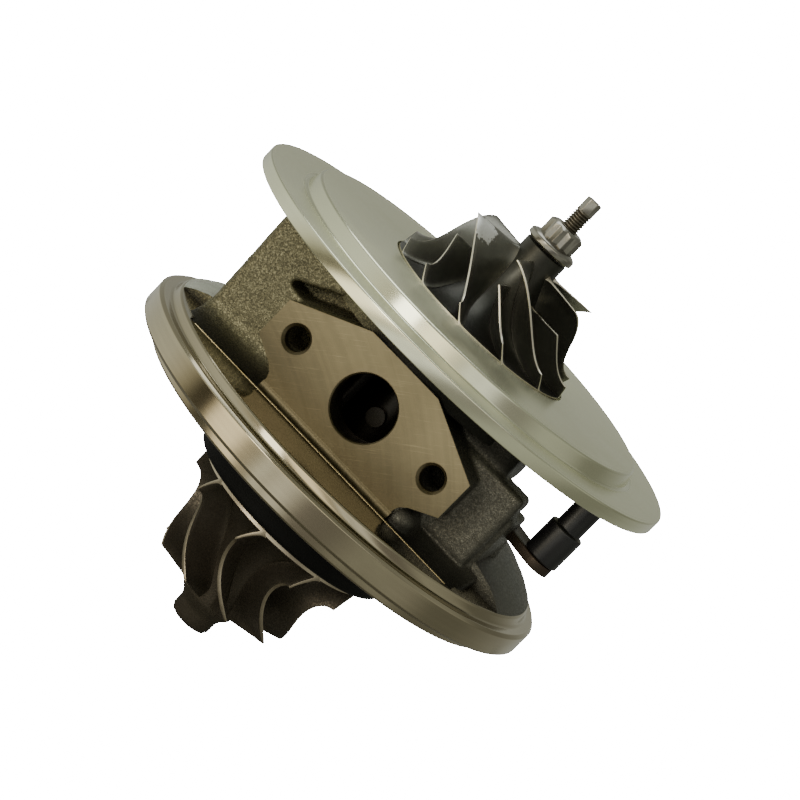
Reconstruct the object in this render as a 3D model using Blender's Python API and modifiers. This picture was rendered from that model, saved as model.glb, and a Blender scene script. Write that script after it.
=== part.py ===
"""Turbocharger centre cartridge with a variable-nozzle crank lever.

Units are metres, +Z runs along the rotor from the turbine to the compressor.
The origin is on the rotor axis, in the plane of the turbine-side mounting face.
The oil drain pad faces -Y and the oil inlet boss faces +Y.
"""

import math

import bmesh
import bpy
from mathutils import Matrix, Vector

MM = 0.001

# Fits between pieces
SEAT_GAP = 0.3 * MM
RUNNING_GAP = 0.6 * MM
MERGE = 0.02 * MM

# Facets round turned pieces, and how far a cutter's facets are turned from them
STEPS_LARGE = 34
STEPS_WHEEL = 24
STEPS_MEDIUM = 24
STEPS_SMALL = 16
STEPS_FASTENER = 14
CUTTER_TURN = math.radians(3.1)

# How far cutters run past what they cut, and sunk pieces into what carries them
OVERSHOOT = 1.0 * MM
CUTTER_MARGIN = 10.0 * MM
BLADE_SINK = 0.9 * MM

# Turbine-side flange of the bearing housing
RIM_RADIUS = 68.0 * MM
RIM_THICKNESS = 7.5 * MM
RIM_CHAMFER = 0.9 * MM
STEP_INSET = 4.7 * MM
STEP_RADIUS = RIM_RADIUS - STEP_INSET
STEP_HEIGHT = 2.7 * MM
DOME_HEIGHT = 6.5 * MM
DOME_INNER_RADIUS = 40.0 * MM
SPIGOT_INSET = 6.0 * MM
SPIGOT_RADIUS = RIM_RADIUS - SPIGOT_INSET
SPIGOT_DEPTH = 3.5 * MM
SHIELD_RECESS_RADIUS = 30.2 * MM
SHIELD_RECESS_DEPTH = 5.0 * MM
SEAL_BOSS_RADIUS = 13.0 * MM
SEAL_BOSS_LENGTH = 12.4 * MM

# Neck and front flange of the bearing housing
NECK_RADIUS = 26.5 * MM
HOUSING_LENGTH = 46.0 * MM
FRONT_FLANGE_RADIUS = 37.5 * MM
PAD_TO_FRONT = 20.0 * MM
FRONT_FLANGE_THICKNESS = 6.0 * MM

# Oil drain pad
PAD_HEIGHT = 37.0 * MM
PAD_CENTRE_Z = HOUSING_LENGTH - PAD_TO_FRONT
PAD_BOLT_SPACING = 50.0 * MM
PAD_END_HALF_WIDTH = 33.3 * MM
PAD_END_HALF_HEIGHT = 5.8 * MM
PAD_NARROW_HALF_WIDTH = 12.0 * MM
PAD_NARROW_HALF_HEIGHT = 15.6 * MM
PAD_FOOT_HALF_WIDTH = 23.6 * MM
PAD_ROOT_DEPTH = 19.0 * MM
LEDGE_RADIUS = 2.6 * MM
LEDGE_LIP = 0.2 * MM
DRAIN_RADIUS = 9.0 * MM
PAD_THREAD_RADIUS = 3.4 * MM
PAD_THREAD_DEPTH = 16.0 * MM
PAD_THREAD_CHAMFER = 0.6 * MM

# Milled clearance beside the drain pad
MILLED_GROOVE_WIDTH = 0.5 * MM
MILLED_FLOOR_DROP = 1.3 * MM

# Cast wing on the -X side
WING_REACH = 52.9 * MM
WING_FOOT_REACH = 50.6 * MM
WING_FACE = 25.5 * MM
WING_BACK = 6.0 * MM
WING_ABOVE_STEP = 0.6 * MM
WING_WAIST_ABOVE_STEP = 13.8 * MM
WING_TO_FRONT = 1.6 * MM
WING_ROUND = 3.8 * MM

# Cast ear on the +X side
EAR_REACH = 44.6 * MM
EAR_FACE = 24.0 * MM
EAR_DEPTH = 11.0 * MM
EAR_ABOVE_STEP = 3.2 * MM
EAR_TO_FRONT = 9.0 * MM
EAR_ROUND = 2.6 * MM

# Oil inlet boss on the +Y side
INLET_HEIGHT = 38.0 * MM
INLET_BOSS_RADIUS = 12.5 * MM
INLET_BOSS_FLARE = 1.5 * MM
INLET_BOSS_SINK = 8.0 * MM
INLET_BOSS_CHAMFER = 0.8 * MM
INLET_Z = HOUSING_LENGTH - PAD_TO_FRONT
INLET_THREAD_RADIUS = 5.2 * MM
INLET_THREAD_DEPTH = 13.0 * MM
INLET_FEED_RADIUS = 1.6 * MM

# Rotor shaft
SHAFT_ROOT_Z = -4.7 * MM
SHAFT_ROOT_RADIUS = 6.6 * MM
SHAFT_ROOT_LENGTH = 4.7 * MM
JOURNAL_RADIUS = 4.0 * MM
WAIST_RADIUS = 3.5 * MM
SHOULDER_DEPTH = 9.3 * MM
SHOULDER_Z = HOUSING_LENGTH - SHOULDER_DEPTH
STUB_RADIUS = 2.5 * MM
STUB_BEYOND_NUT = 6.0 * MM
DRIVE_FLATS = 4.2 * MM
DRIVE_LENGTH = 3.8 * MM

# One-piece journal bearing
BEARING_START_Z = 5.0 * MM
BEARING_LAND = 9.0 * MM
BEARING_RADIUS = 6.3 * MM
BEARING_WAIST_RADIUS = 5.4 * MM
OIL_HOLE_RADIUS = 0.9 * MM
BEARING_TUBE_RADIUS = 10.2 * MM
PIN_BELOW_PAD_CENTRE = 4.5 * MM
PIN_Z = PAD_CENTRE_Z - PIN_BELOW_PAD_CENTRE
PIN_RADIUS = 1.6 * MM
PIN_HEAD_RADIUS = 2.7 * MM
PIN_HEAD_THICKNESS = 2.2 * MM

# Drain chamber inside the housing
CHAMBER_HALF_WIDTH = 13.0 * MM
CHAMBER_DEPTH = 23.0 * MM
CHAMBER_START_Z = 13.0 * MM
CHAMBER_FRONT_WALL = 10.6 * MM
CHAMBER_END_Z = HOUSING_LENGTH - CHAMBER_FRONT_WALL
CHAMBER_SLOT_HALF_WIDTH = 4.0 * MM
CHAMBER_SLOT_LENGTH = 3.0 * MM
REAR_PASSAGE_HALF_WIDTH = 5.0 * MM
REAR_PASSAGE_DEPTH = 11.6 * MM
FRONT_PASSAGE_HALF_WIDTH = 7.0 * MM
FRONT_PASSAGE_DEPTH = 16.0 * MM

# Turbine-end seal
SEAL_HUB_RADIUS = 8.3 * MM
SEAL_BORE_RADIUS = 8.9 * MM
SEAL_BORE_END_Z = -4.0 * MM
SEAL_CHAMBER_RADIUS = 9.8 * MM
RING_WIDTH = 1.3 * MM
RING_DEPTH = 1.2 * MM
RING_SPLIT = 0.9 * MM
TURBINE_RING_Z = -8.4 * MM

# Turbine wheel
TURBINE_BLADES = 9
TURBINE_RADIUS = 28.2 * MM
TURBINE_BACK_Z = -17.2 * MM
TURBINE_DISC_EDGE = 1.0 * MM
TURBINE_TIP_WIDTH = 6.4 * MM
TURBINE_EXDUCER_RADIUS = 22.0 * MM
TURBINE_EXDUCER_TIP_Z = -44.4 * MM
TURBINE_EXDUCER_ROOT_Z = -48.6 * MM
TURBINE_HUB_RADIUS = 8.6 * MM
TURBINE_NOSE_RADIUS = 6.3 * MM
TURBINE_NOSE_Z = -57.6 * MM
TURBINE_BLADE_THICKNESS = 1.5 * MM
TURBINE_FIRST_BLADE = math.radians(-123.8)
TURBINE_BACKWARD_TURN = math.radians(54.4)
TURBINE_FORWARD_TURN = math.radians(76.9)
TURBINE_TURN_POWER = 2.17
TURBINE_WELD_Z = -5.0 * MM

# Heat shield
SHIELD_RADIUS = 32.6 * MM
SHIELD_BRIM_RADIUS = 34.6 * MM
SHIELD_SHEET = 0.9 * MM
SHIELD_CORNER = 1.8 * MM
SHIELD_FLOOR_Z = -16.5 * MM
SHIELD_HOLE_RADIUS = 11.4 * MM

# Thrust stack
THRUST_POCKET_RADIUS = 17.3 * MM
THRUST_POCKET_DEPTH = 6.4 * MM
THRUST_POCKET_Z = HOUSING_LENGTH - THRUST_POCKET_DEPTH
COLLAR_RADIUS = 9.2 * MM
COLLAR_THICKNESS = 2.3 * MM
COLLAR_NECK_RADIUS = 5.6 * MM
THRUST_BEARING_THICKNESS = 2.7 * MM
THRUST_BORE_RADIUS = 6.2 * MM
DEFLECTOR_SHEET = 0.8 * MM
FLINGER_DISC_RADIUS = 9.2 * MM
FLINGER_DISC_THICKNESS = 2.1 * MM
FLINGER_RADIUS = 7.2 * MM
COMPRESSOR_RING_BEYOND = 4.4 * MM
COMPRESSOR_RING_Z = HOUSING_LENGTH + COMPRESSOR_RING_BEYOND

# Compressor back plate
PLATE_RADIUS = 71.0 * MM
PLATE_STANDOFF = 3.5 * MM
PLATE_THICKNESS = 8.0 * MM
PLATE_REAR_Z = HOUSING_LENGTH + PLATE_STANDOFF
PLATE_RIM_THICKNESS = 3.2 * MM
PLATE_RIM_CHAMFER = 0.4 * MM
PLATE_STEP_RADIUS = 58.0 * MM
PLATE_GROOVE_WIDTH = 1.4 * MM
PLATE_GROOVE_DEPTH = 0.5 * MM
PLATE_FACE_Z = PLATE_REAR_Z + PLATE_THICKNESS
PLATE_STEP_CHAMFER = 0.5 * MM
PLATE_HUB_RADIUS = 36.5 * MM
PLATE_BORE_RADIUS = 7.8 * MM
WHEEL_RECESS_RADIUS = 31.2 * MM
WHEEL_RECESS_DEPTH = 3.0 * MM
WHEEL_BACK_GAP = 0.5 * MM
SCREW_COUNT = 3
SCREW_CIRCLE_RADIUS = 22.5 * MM
SCREW_FIRST_ANGLE = math.radians(-30.0)
SCREW_SHANK_RADIUS = 2.4 * MM
SCREW_HEAD_RADIUS = 4.2 * MM
SCREW_HEAD_HEIGHT = 3.6 * MM
SCREW_GRIP = 9.0 * MM
SCREW_SOCKET_FLATS = 4.0 * MM
O_RING_CIRCLE_RADIUS = 31.0 * MM
O_RING_SECTION_RADIUS = 1.2 * MM

# Compressor wheel
COMPRESSOR_PAIRS = 6
WHEEL_RADIUS = 29.3 * MM
WHEEL_DISC_THICKNESS = 2.8 * MM
WHEEL_DISC_EDGE = 1.3 * MM
WHEEL_BACK_Z = PLATE_FACE_Z - WHEEL_RECESS_DEPTH + WHEEL_BACK_GAP
WHEEL_DISC_FRONT_Z = WHEEL_BACK_Z + WHEEL_DISC_THICKNESS
WHEEL_TIP_WIDTH = 3.9 * MM
WHEEL_INDUCER_RADIUS = 21.2 * MM
WHEEL_INLET_HEIGHT = 20.8 * MM
SPLITTER_HEIGHT = 12.4 * MM
WHEEL_NOSE_HEIGHT = 4.6 * MM
WHEEL_INLET_Z = WHEEL_DISC_FRONT_Z + WHEEL_INLET_HEIGHT
SPLITTER_INLET_Z = WHEEL_DISC_FRONT_Z + SPLITTER_HEIGHT
WHEEL_NOSE_Z = WHEEL_INLET_Z + WHEEL_NOSE_HEIGHT
WHEEL_HUB_RADIUS = 6.6 * MM
WHEEL_BLADE_THICKNESS = 0.9 * MM
WHEEL_FIRST_BLADE = math.radians(-152.5)
WHEEL_WRAP = math.radians(57.5)
WHEEL_TURN_POWER = 0.6
WHEEL_LEAN = math.radians(8.0)

# Shaft nut
NUT_FLANGE_RADIUS = 7.4 * MM
NUT_FLANGE_THICKNESS = 2.2 * MM
NUT_POINT_RADIUS = 5.6 * MM
NUT_HEIGHT = 7.9 * MM

# Crank lever
CRANK_X = 40.0 * MM
CRANK_Y = 0.0 * MM
CRANK_RADIUS = 2.9 * MM
CRANK_BOSS_RADIUS = 7.4 * MM
CRANK_BOSS_ABOVE_STEP = 10.8 * MM
BUSH_RADIUS = 4.7 * MM
BUSH_COLLAR_RADIUS = 6.4 * MM
BUSH_COLLAR_THICKNESS = 1.9 * MM
ARM_THICKNESS = 2.7 * MM
ARM_LENGTH = 18.7 * MM
ARM_HUB_RADIUS = 6.0 * MM
ARM_EYE_RADIUS = 4.7 * MM
ARM_ANGLE = math.radians(-28.7)
LEVER_PIN_RADIUS = 2.6 * MM
CAP_RADIUS = 5.2 * MM
CAP_HEIGHT = 10.4 * MM
CAP_NECK_RADIUS = 3.9 * MM
CAP_TO_PLATE = 3.0 * MM
CAP_END_WALL = 6.0 * MM
INNER_ARM_LENGTH = 11.0 * MM
INNER_ARM_THICKNESS = 3.0 * MM
INNER_ARM_ANGLE = math.radians(60.0)
INNER_ARM_HUB_RADIUS = 4.6 * MM
INNER_ARM_EYE_RADIUS = 3.6 * MM
INNER_PIN_RADIUS = 2.3 * MM
INNER_PIN_LENGTH = 2.6 * MM

# Locating dowel in the turbine-side face
DOWEL_RADIUS = 1.5 * MM
DOWEL_INSET = 10.0 * MM
DOWEL_CIRCLE_RADIUS = SPIGOT_RADIUS - DOWEL_INSET
DOWEL_ANGLE = math.radians(110.0)
DOWEL_PROUD = 2.4 * MM
DOWEL_SUNK = 5.0 * MM

# Levels that follow from the sizes above
STEP_TOP_Z = RIM_THICKNESS + STEP_HEIGHT
DOME_TOP_Z = STEP_TOP_Z + DOME_HEIGHT
LEDGE_TOP_Z = STEP_TOP_Z + LEDGE_LIP + LEDGE_RADIUS
LEDGE_FRONT = PAD_HEIGHT + LEDGE_RADIUS
MILLED_EDGE = LEDGE_FRONT + MILLED_GROOVE_WIDTH
MILLED_FLOOR_Z = STEP_TOP_Z - MILLED_FLOOR_DROP
WING_BOTTOM_Z = STEP_TOP_Z + WING_ABOVE_STEP
WING_WAIST_Z = STEP_TOP_Z + WING_WAIST_ABOVE_STEP
WING_TOP_Z = HOUSING_LENGTH - WING_TO_FRONT
EAR_BOTTOM_Z = STEP_TOP_Z + EAR_ABOVE_STEP
EAR_TOP_Z = HOUSING_LENGTH - EAR_TO_FRONT
CRANK_BOSS_TOP_Z = STEP_TOP_Z + CRANK_BOSS_ABOVE_STEP
COLLAR_START_Z = SHOULDER_Z + SEAT_GAP
COLLAR_DISC_END_Z = COLLAR_START_Z + COLLAR_THICKNESS
THRUST_START_Z = THRUST_POCKET_Z + SEAT_GAP
THRUST_END_Z = THRUST_START_Z + THRUST_BEARING_THICKNESS
DEFLECTOR_START_Z = THRUST_END_Z + SEAT_GAP
DEFLECTOR_END_Z = DEFLECTOR_START_Z + DEFLECTOR_SHEET
FLINGER_START_Z = THRUST_END_Z + SEAT_GAP
FLINGER_DISC_END_Z = FLINGER_START_Z + FLINGER_DISC_THICKNESS
FLINGER_END_Z = WHEEL_BACK_Z - SEAT_GAP
BEARING_END_Z = SHOULDER_Z - SEAT_GAP
NUT_START_Z = WHEEL_NOSE_Z + SEAT_GAP
NUT_END_Z = NUT_START_Z + NUT_HEIGHT
STUB_END_Z = NUT_END_Z + STUB_BEYOND_NUT
STUB_BORE_RADIUS = STUB_RADIUS + SEAT_GAP
RECESS_FLOOR_Z = PLATE_FACE_Z - WHEEL_RECESS_DEPTH
BUSH_COLLAR_START_Z = CRANK_BOSS_TOP_Z + SEAT_GAP
ARM_START_Z = BUSH_COLLAR_START_Z + BUSH_COLLAR_THICKNESS + SEAT_GAP
ARM_END_Z = ARM_START_Z + ARM_THICKNESS
CAP_TOP_Z = PLATE_REAR_Z - CAP_TO_PLATE
SPIGOT_Z = -SPIGOT_DEPTH
INNER_ARM_TOP_Z = SPIGOT_Z - SEAT_GAP


def clear_scene():
    for old in list(bpy.data.objects):
        bpy.data.objects.remove(old, do_unlink=True)


def make_collection(name):
    collection = bpy.data.collections.new(name)
    bpy.context.scene.collection.children.link(collection)
    return collection


def make_material(name, colour, roughness, metallic):
    material = bpy.data.materials.new(name)
    material.use_nodes = True
    shader = material.node_tree.nodes["Principled BSDF"]
    shader.inputs["Base Color"].default_value = (*colour, 1.0)
    shader.inputs["Roughness"].default_value = roughness
    shader.inputs["Metallic"].default_value = metallic
    material.diffuse_color = (*colour, 1.0)
    return material


clear_scene()
PARTS = make_collection("turbo_cartridge")
TOOLS = make_collection("cutters")
TOOLS.hide_render = True

CAST_IRON = make_material("cast_iron", (0.20, 0.17, 0.12), 0.60, 0.85)
ALUMINIUM = make_material("turned_aluminium", (0.74, 0.74, 0.69), 0.28, 1.0)
WHEEL_ALLOY = make_material("cast_wheel_aluminium", (0.10, 0.10, 0.09), 0.42, 0.85)
NICKEL_ALLOY = make_material("cast_nickel_alloy", (0.16, 0.14, 0.11), 0.50, 0.90)
STEEL = make_material("ground_steel", (0.55, 0.54, 0.50), 0.25, 1.0)
DARK_STEEL = make_material("pressed_dark_steel", (0.035, 0.035, 0.035), 0.45, 0.80)
RUSTY_STEEL = make_material("browned_steel", (0.20, 0.14, 0.09), 0.60, 0.70)
BRONZE = make_material("bearing_bronze", (0.60, 0.40, 0.18), 0.32, 1.0)
BLACK_PLASTIC = make_material("black_plastic", (0.015, 0.015, 0.015), 0.40, 0.0)
RUBBER = make_material("black_rubber", (0.02, 0.02, 0.02), 0.65, 0.0)


def add_object(name, mesh, material, is_tool):
    """Link a mesh as a part, or as a cutter that stays out of the model."""
    obj = bpy.data.objects.new(name, mesh)
    if is_tool:
        TOOLS.objects.link(obj)
        obj.hide_render = True
        obj.display_type = "WIRE"
    else:
        PARTS.objects.link(obj)
        mesh.materials.append(material)
    return obj


def polar(radius, angle, z=0.0):
    return (radius * math.cos(angle), radius * math.sin(angle), z)


def object_from_bmesh(name, bm, material=None, is_tool=False):
    mesh = bpy.data.meshes.new(name)
    bmesh.ops.recalc_face_normals(bm, faces=bm.faces)
    bm.to_mesh(mesh)
    bm.free()
    return add_object(name, mesh, material, is_tool)


def turned(name, profile, steps, material=None, is_tool=False, closed=False):
    """Turn a profile of (radius, z) pairs about Z; the outer side runs down."""
    bm = bmesh.new()
    seam = CUTTER_TURN if is_tool else 0.0
    verts = [bm.verts.new(polar(radius, seam, z)) for radius, z in profile]
    for first, second in zip(verts, verts[1:]):
        bm.edges.new((first, second))
    if closed:
        bm.edges.new((verts[-1], verts[0]))
    mesh = bpy.data.meshes.new(name)
    bm.to_mesh(mesh)
    bm.free()
    obj = add_object(name, mesh, material, is_tool)
    screw = obj.modifiers.new("turn", "SCREW")
    screw.angle = math.tau
    screw.steps = round(steps)
    screw.render_steps = round(steps)
    screw.use_merge_vertices = True
    screw.merge_threshold = MERGE
    screw.use_smooth_shade = True
    return obj


def ring_profile(inner, outer, bottom, top):
    return [(inner, top), (outer, top), (outer, bottom), (inner, bottom)]


def ring(name, inner, outer, bottom, top, steps, material=None, is_tool=False):
    profile = ring_profile(inner, outer, bottom, top)
    return turned(name, profile, steps, material, is_tool, closed=True)


def disc_tool(name, radius, bottom, top, steps):
    profile = [(0.0, top), (radius, top), (radius, bottom), (0.0, bottom)]
    return turned(name, profile, steps, is_tool=True)


def box(name, low, high, material=None, is_tool=False):
    bm = bmesh.new()
    bmesh.ops.create_cube(bm, size=1.0)
    low = Vector(low)
    high = Vector(high)
    size = high - low
    bmesh.ops.scale(bm, vec=size, verts=bm.verts)
    bmesh.ops.translate(bm, vec=(low + high) / 2, verts=bm.verts)
    return object_from_bmesh(name, bm, material, is_tool)


def round_edges(obj, width, segments):
    bevel = obj.modifiers.new("round", "BEVEL")
    bevel.width = width
    bevel.segments = segments
    bevel.limit_method = "ANGLE"
    bevel.angle_limit = math.radians(40.0)


def combine(target, tools, operation):
    """One boolean with one cutter, or with a collection of several."""
    boolean = target.modifiers.new(tools[0].name, "BOOLEAN")
    boolean.operation = operation
    boolean.solver = "EXACT"
    if len(tools) == 1:
        boolean.object = tools[0]
        return
    group = bpy.data.collections.new(f"{tools[0].name}_group")
    TOOLS.children.link(group)
    for tool in tools:
        TOOLS.objects.unlink(tool)
        group.objects.link(tool)
    boolean.operand_type = "COLLECTION"
    boolean.collection = group


def cut(target, *tools):
    combine(target, tools, "DIFFERENCE")


def fuse(target, *tools):
    combine(target, tools, "UNION")


def keep_inside(target, tool):
    combine(target, [tool], "INTERSECT")


def turn_to_y(obj, x, y, z):
    """Lay an object made along +Z so that its +Z end points to +Y."""
    obj.location = (x, y, z)
    obj.rotation_euler = (-math.pi / 2, 0.0, 0.0)


def evaluated_mesh(obj):
    bpy.context.view_layer.update()
    graph = bpy.context.evaluated_depsgraph_get()
    return bpy.data.meshes.new_from_object(obj.evaluated_get(graph))


def prism(name, outline, bottom, top, material=None, is_tool=False):
    """Flat outline of (x, y) pairs, thickened from bottom to top along Z."""
    curve = bpy.data.curves.new(f"{name}_outline", "CURVE")
    curve.dimensions = "2D"
    curve.fill_mode = "BOTH"
    curve.extrude = (top - bottom) / 2
    spline = curve.splines.new("POLY")
    spline.points.add(len(outline) - 1)
    for point, (x, y) in zip(spline.points, outline):
        point.co = (x, y, 0.0, 1.0)
    spline.use_cyclic_u = True
    flat = bpy.data.objects.new(curve.name, curve)
    TOOLS.objects.link(flat)
    mesh = evaluated_mesh(flat)
    bm = bmesh.new()
    bm.from_mesh(mesh)
    bmesh.ops.remove_doubles(bm, verts=bm.verts, dist=MERGE / 4)
    bmesh.ops.translate(bm, vec=(0.0, 0.0, (bottom + top) / 2), verts=bm.verts)
    bpy.data.objects.remove(flat)
    bpy.data.curves.remove(curve)
    bpy.data.meshes.remove(mesh)
    return object_from_bmesh(name, bm, material, is_tool)


def stand_outline(obj):
    """Turn a prism so that its outline lies in (x, z) and its top faces -Y."""
    obj.rotation_euler = (math.pi / 2, 0.0, 0.0)
    return obj


def shade_round(piece):
    """Keep a piece's evaluated mesh, with smooth turned faces and sharp edges."""
    mesh = evaluated_mesh(piece)
    blank = piece.data
    piece.modifiers.clear()
    piece.data = mesh
    mesh.name = piece.name
    mesh.shade_smooth()
    mesh.set_sharp_from_angle(angle=math.radians(28.0))
    bpy.data.meshes.remove(blank)
    return piece


def regular_outline(sides, corner_radius, turn=0.0):
    step = math.tau / sides
    return [
        (corner_radius * math.cos(turn + i * step), corner_radius * math.sin(turn + i * step))
        for i in range(sides)
    ]


def arc_points(centre, radius_r, radius_z, start, end, count):
    """Points of an elliptic arc in the (radius, z) plane."""
    points = []
    for i in range(count + 1):
        angle = start + (end - start) * i / count
        r = centre[0] + radius_r * math.cos(angle)
        z = centre[1] + radius_z * math.sin(angle)
        points.append((r, z))
    return points


# Bearing housing
def housing_profile():
    flange_back = HOUSING_LENGTH - FRONT_FLANGE_THICKNESS
    fillet = FRONT_FLANGE_RADIUS - NECK_RADIUS
    neck_top = flange_back - fillet * 0.55
    blend = DOME_INNER_RADIUS - NECK_RADIUS
    profile = [(0.0, HOUSING_LENGTH), (FRONT_FLANGE_RADIUS, HOUSING_LENGTH)]
    profile.append((FRONT_FLANGE_RADIUS, flange_back))
    profile.append((NECK_RADIUS + fillet * 0.35, flange_back - fillet * 0.12))
    profile.append((NECK_RADIUS, neck_top))
    profile.append((NECK_RADIUS, DOME_TOP_Z + blend * 0.25))
    profile.append((NECK_RADIUS + blend * 0.15, DOME_TOP_Z + blend * 0.09))
    profile.append((NECK_RADIUS + blend * 0.45, DOME_TOP_Z))
    dome_width = STEP_RADIUS - DOME_INNER_RADIUS
    dome = arc_points(
        (DOME_INNER_RADIUS, STEP_TOP_Z), dome_width, DOME_HEIGHT, math.pi / 2, 0.0, 4
    )
    profile.extend(dome)
    profile.append((STEP_RADIUS, RIM_THICKNESS))
    profile.append((RIM_RADIUS - RIM_CHAMFER, RIM_THICKNESS))
    profile.append((RIM_RADIUS, RIM_THICKNESS - RIM_CHAMFER))
    profile.append((RIM_RADIUS, RIM_CHAMFER))
    profile.append((RIM_RADIUS - RIM_CHAMFER, 0.0))
    profile.append((SPIGOT_RADIUS, 0.0))
    profile.append((SPIGOT_RADIUS, SPIGOT_Z + RIM_CHAMFER / 2))
    profile.append((SPIGOT_RADIUS - RIM_CHAMFER / 2, SPIGOT_Z))
    profile.append((SHIELD_RECESS_RADIUS, SPIGOT_Z))
    recess_z = SPIGOT_Z + SHIELD_RECESS_DEPTH
    profile.append((SHIELD_RECESS_RADIUS, recess_z))
    profile.append((SEAL_BOSS_RADIUS + 3.0 * MM, recess_z))
    profile.append((SEAL_BOSS_RADIUS, recess_z - 3.0 * MM))
    profile.append((SEAL_BOSS_RADIUS, -SEAL_BOSS_LENGTH))
    profile.append((0.0, -SEAL_BOSS_LENGTH))
    return profile


def drain_pad():
    """Two-bolt pad with tapered flanks, standing on the flange."""
    taper = (PAD_NARROW_HALF_HEIGHT - PAD_END_HALF_HEIGHT) / (
        PAD_END_HALF_WIDTH - PAD_NARROW_HALF_WIDTH
    )
    shoulder_z = PAD_CENTRE_Z - PAD_END_HALF_HEIGHT - taper * (
        PAD_END_HALF_WIDTH - PAD_FOOT_HALF_WIDTH
    )
    right = [
        (PAD_FOOT_HALF_WIDTH, MILLED_FLOOR_Z - OVERSHOOT),
        (PAD_FOOT_HALF_WIDTH, shoulder_z),
        (PAD_END_HALF_WIDTH, PAD_CENTRE_Z - PAD_END_HALF_HEIGHT),
        (PAD_END_HALF_WIDTH, PAD_CENTRE_Z + PAD_END_HALF_HEIGHT),
        (PAD_NARROW_HALF_WIDTH, PAD_CENTRE_Z + PAD_NARROW_HALF_HEIGHT),
    ]
    left = [(-x, z) for x, z in reversed(right)]
    pad = prism("drain_pad_tool", right + left, PAD_ROOT_DEPTH, PAD_HEIGHT, is_tool=True)
    return stand_outline(pad)


def pad_ledge():
    """Hollow-ground run-out from the pad's face to the flange."""
    hollow = arc_points(
        (-LEDGE_FRONT, LEDGE_TOP_Z), LEDGE_RADIUS, LEDGE_RADIUS, 0.0, -math.pi / 2, 4
    )
    inner = -PAD_HEIGHT + OVERSHOOT
    bottom = MILLED_FLOOR_Z - OVERSHOOT
    section = [(inner, bottom), (inner, LEDGE_TOP_Z)] + hollow + [(-LEDGE_FRONT, bottom)]
    half = PAD_FOOT_HALF_WIDTH - MERGE * 5
    ledge = prism("pad_ledge_tool", section, -half, half, is_tool=True)
    ledge.rotation_euler = (math.pi / 2, 0.0, math.pi / 2)
    return ledge


def wing():
    """Block cast against the neck, drawn in towards its foot."""
    inner = -NECK_RADIUS / 2
    outline = [
        (inner, WING_BOTTOM_Z),
        (inner, WING_TOP_Z),
        (-WING_REACH, WING_TOP_Z),
        (-WING_REACH, WING_WAIST_Z),
        (-WING_FOOT_REACH, WING_BOTTOM_Z),
    ]
    block = prism("wing_tool", outline, -WING_BACK, WING_FACE, is_tool=True)
    round_edges(block, WING_ROUND, 2)
    return stand_outline(block)


def drain_tools():
    """Cutters for the drain hole and the chamber round the bearing tube."""
    hole = disc_tool("drain_hole_tool", DRAIN_RADIUS, 0.0, PAD_HEIGHT, STEPS_MEDIUM)
    turn_to_y(hole, 0.0, -PAD_HEIGHT - 2.0 * MM, PAD_CENTRE_Z)
    chamber = box(
        "drain_chamber_tool",
        (-CHAMBER_HALF_WIDTH, -CHAMBER_DEPTH, CHAMBER_START_Z),
        (CHAMBER_HALF_WIDTH, -3.0 * MM, CHAMBER_END_Z),
        is_tool=True,
    )
    tube = disc_tool(
        "bearing_tube_tool",
        BEARING_TUBE_RADIUS,
        CHAMBER_START_Z - 5.0 * MM,
        CHAMBER_END_Z + 5.0 * MM,
        STEPS_MEDIUM,
    )
    fuse(chamber, hole)
    cut(chamber, tube)
    slots = []
    slot_starts = (PIN_Z - 6.6 * MM, PIN_Z + 3.6 * MM)
    for index, start in enumerate(slot_starts):
        slot = box(
            f"chamber_slot_tool_{index}",
            (-CHAMBER_SLOT_HALF_WIDTH, -BEARING_TUBE_RADIUS - OVERSHOOT, start),
            (CHAMBER_SLOT_HALF_WIDTH, 0.0, start + CHAMBER_SLOT_LENGTH),
            is_tool=True,
        )
        slots.append(slot)
    rear = box(
        "rear_passage_tool",
        (-REAR_PASSAGE_HALF_WIDTH, -REAR_PASSAGE_DEPTH, 0.0),
        (REAR_PASSAGE_HALF_WIDTH, -5.0 * MM, CHAMBER_START_Z + OVERSHOOT),
        is_tool=True,
    )
    front = box(
        "front_passage_tool",
        (-FRONT_PASSAGE_HALF_WIDTH, -FRONT_PASSAGE_DEPTH, CHAMBER_END_Z - OVERSHOOT),
        (
            FRONT_PASSAGE_HALF_WIDTH,
            -COLLAR_RADIUS - RUNNING_GAP,
            HOUSING_LENGTH + OVERSHOOT,
        ),
        is_tool=True,
    )
    return [chamber, rear, front] + slots


def bore_tool():
    """Stepped bore for seal, bearing and thrust stack, as one turned cutter."""
    bearing_bore = BEARING_RADIUS + SEAT_GAP
    collar_bore = COLLAR_RADIUS + RUNNING_GAP * 2
    profile = [
        (0.0, HOUSING_LENGTH + OVERSHOOT),
        (THRUST_POCKET_RADIUS, HOUSING_LENGTH + OVERSHOOT),
        (THRUST_POCKET_RADIUS, THRUST_POCKET_Z),
        (collar_bore, THRUST_POCKET_Z),
        (collar_bore, SHOULDER_Z - SEAT_GAP),
        (bearing_bore, SHOULDER_Z - SEAT_GAP),
        (bearing_bore, BEARING_START_Z - SEAT_GAP),
        (JOURNAL_RADIUS + 1.2 * MM, BEARING_START_Z - SEAT_GAP),
        (JOURNAL_RADIUS + 1.2 * MM, BEARING_START_Z - 2.0 * MM),
        (SEAL_CHAMBER_RADIUS, BEARING_START_Z - 2.0 * MM),
        (SEAL_CHAMBER_RADIUS, SEAL_BORE_END_Z),
        (SEAL_BORE_RADIUS, SEAL_BORE_END_Z),
        (SEAL_BORE_RADIUS, -SEAL_BOSS_LENGTH - OVERSHOOT),
        (0.0, -SEAL_BOSS_LENGTH - OVERSHOOT),
    ]
    return turned("bore_tool", profile, STEPS_MEDIUM, is_tool=True)


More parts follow.
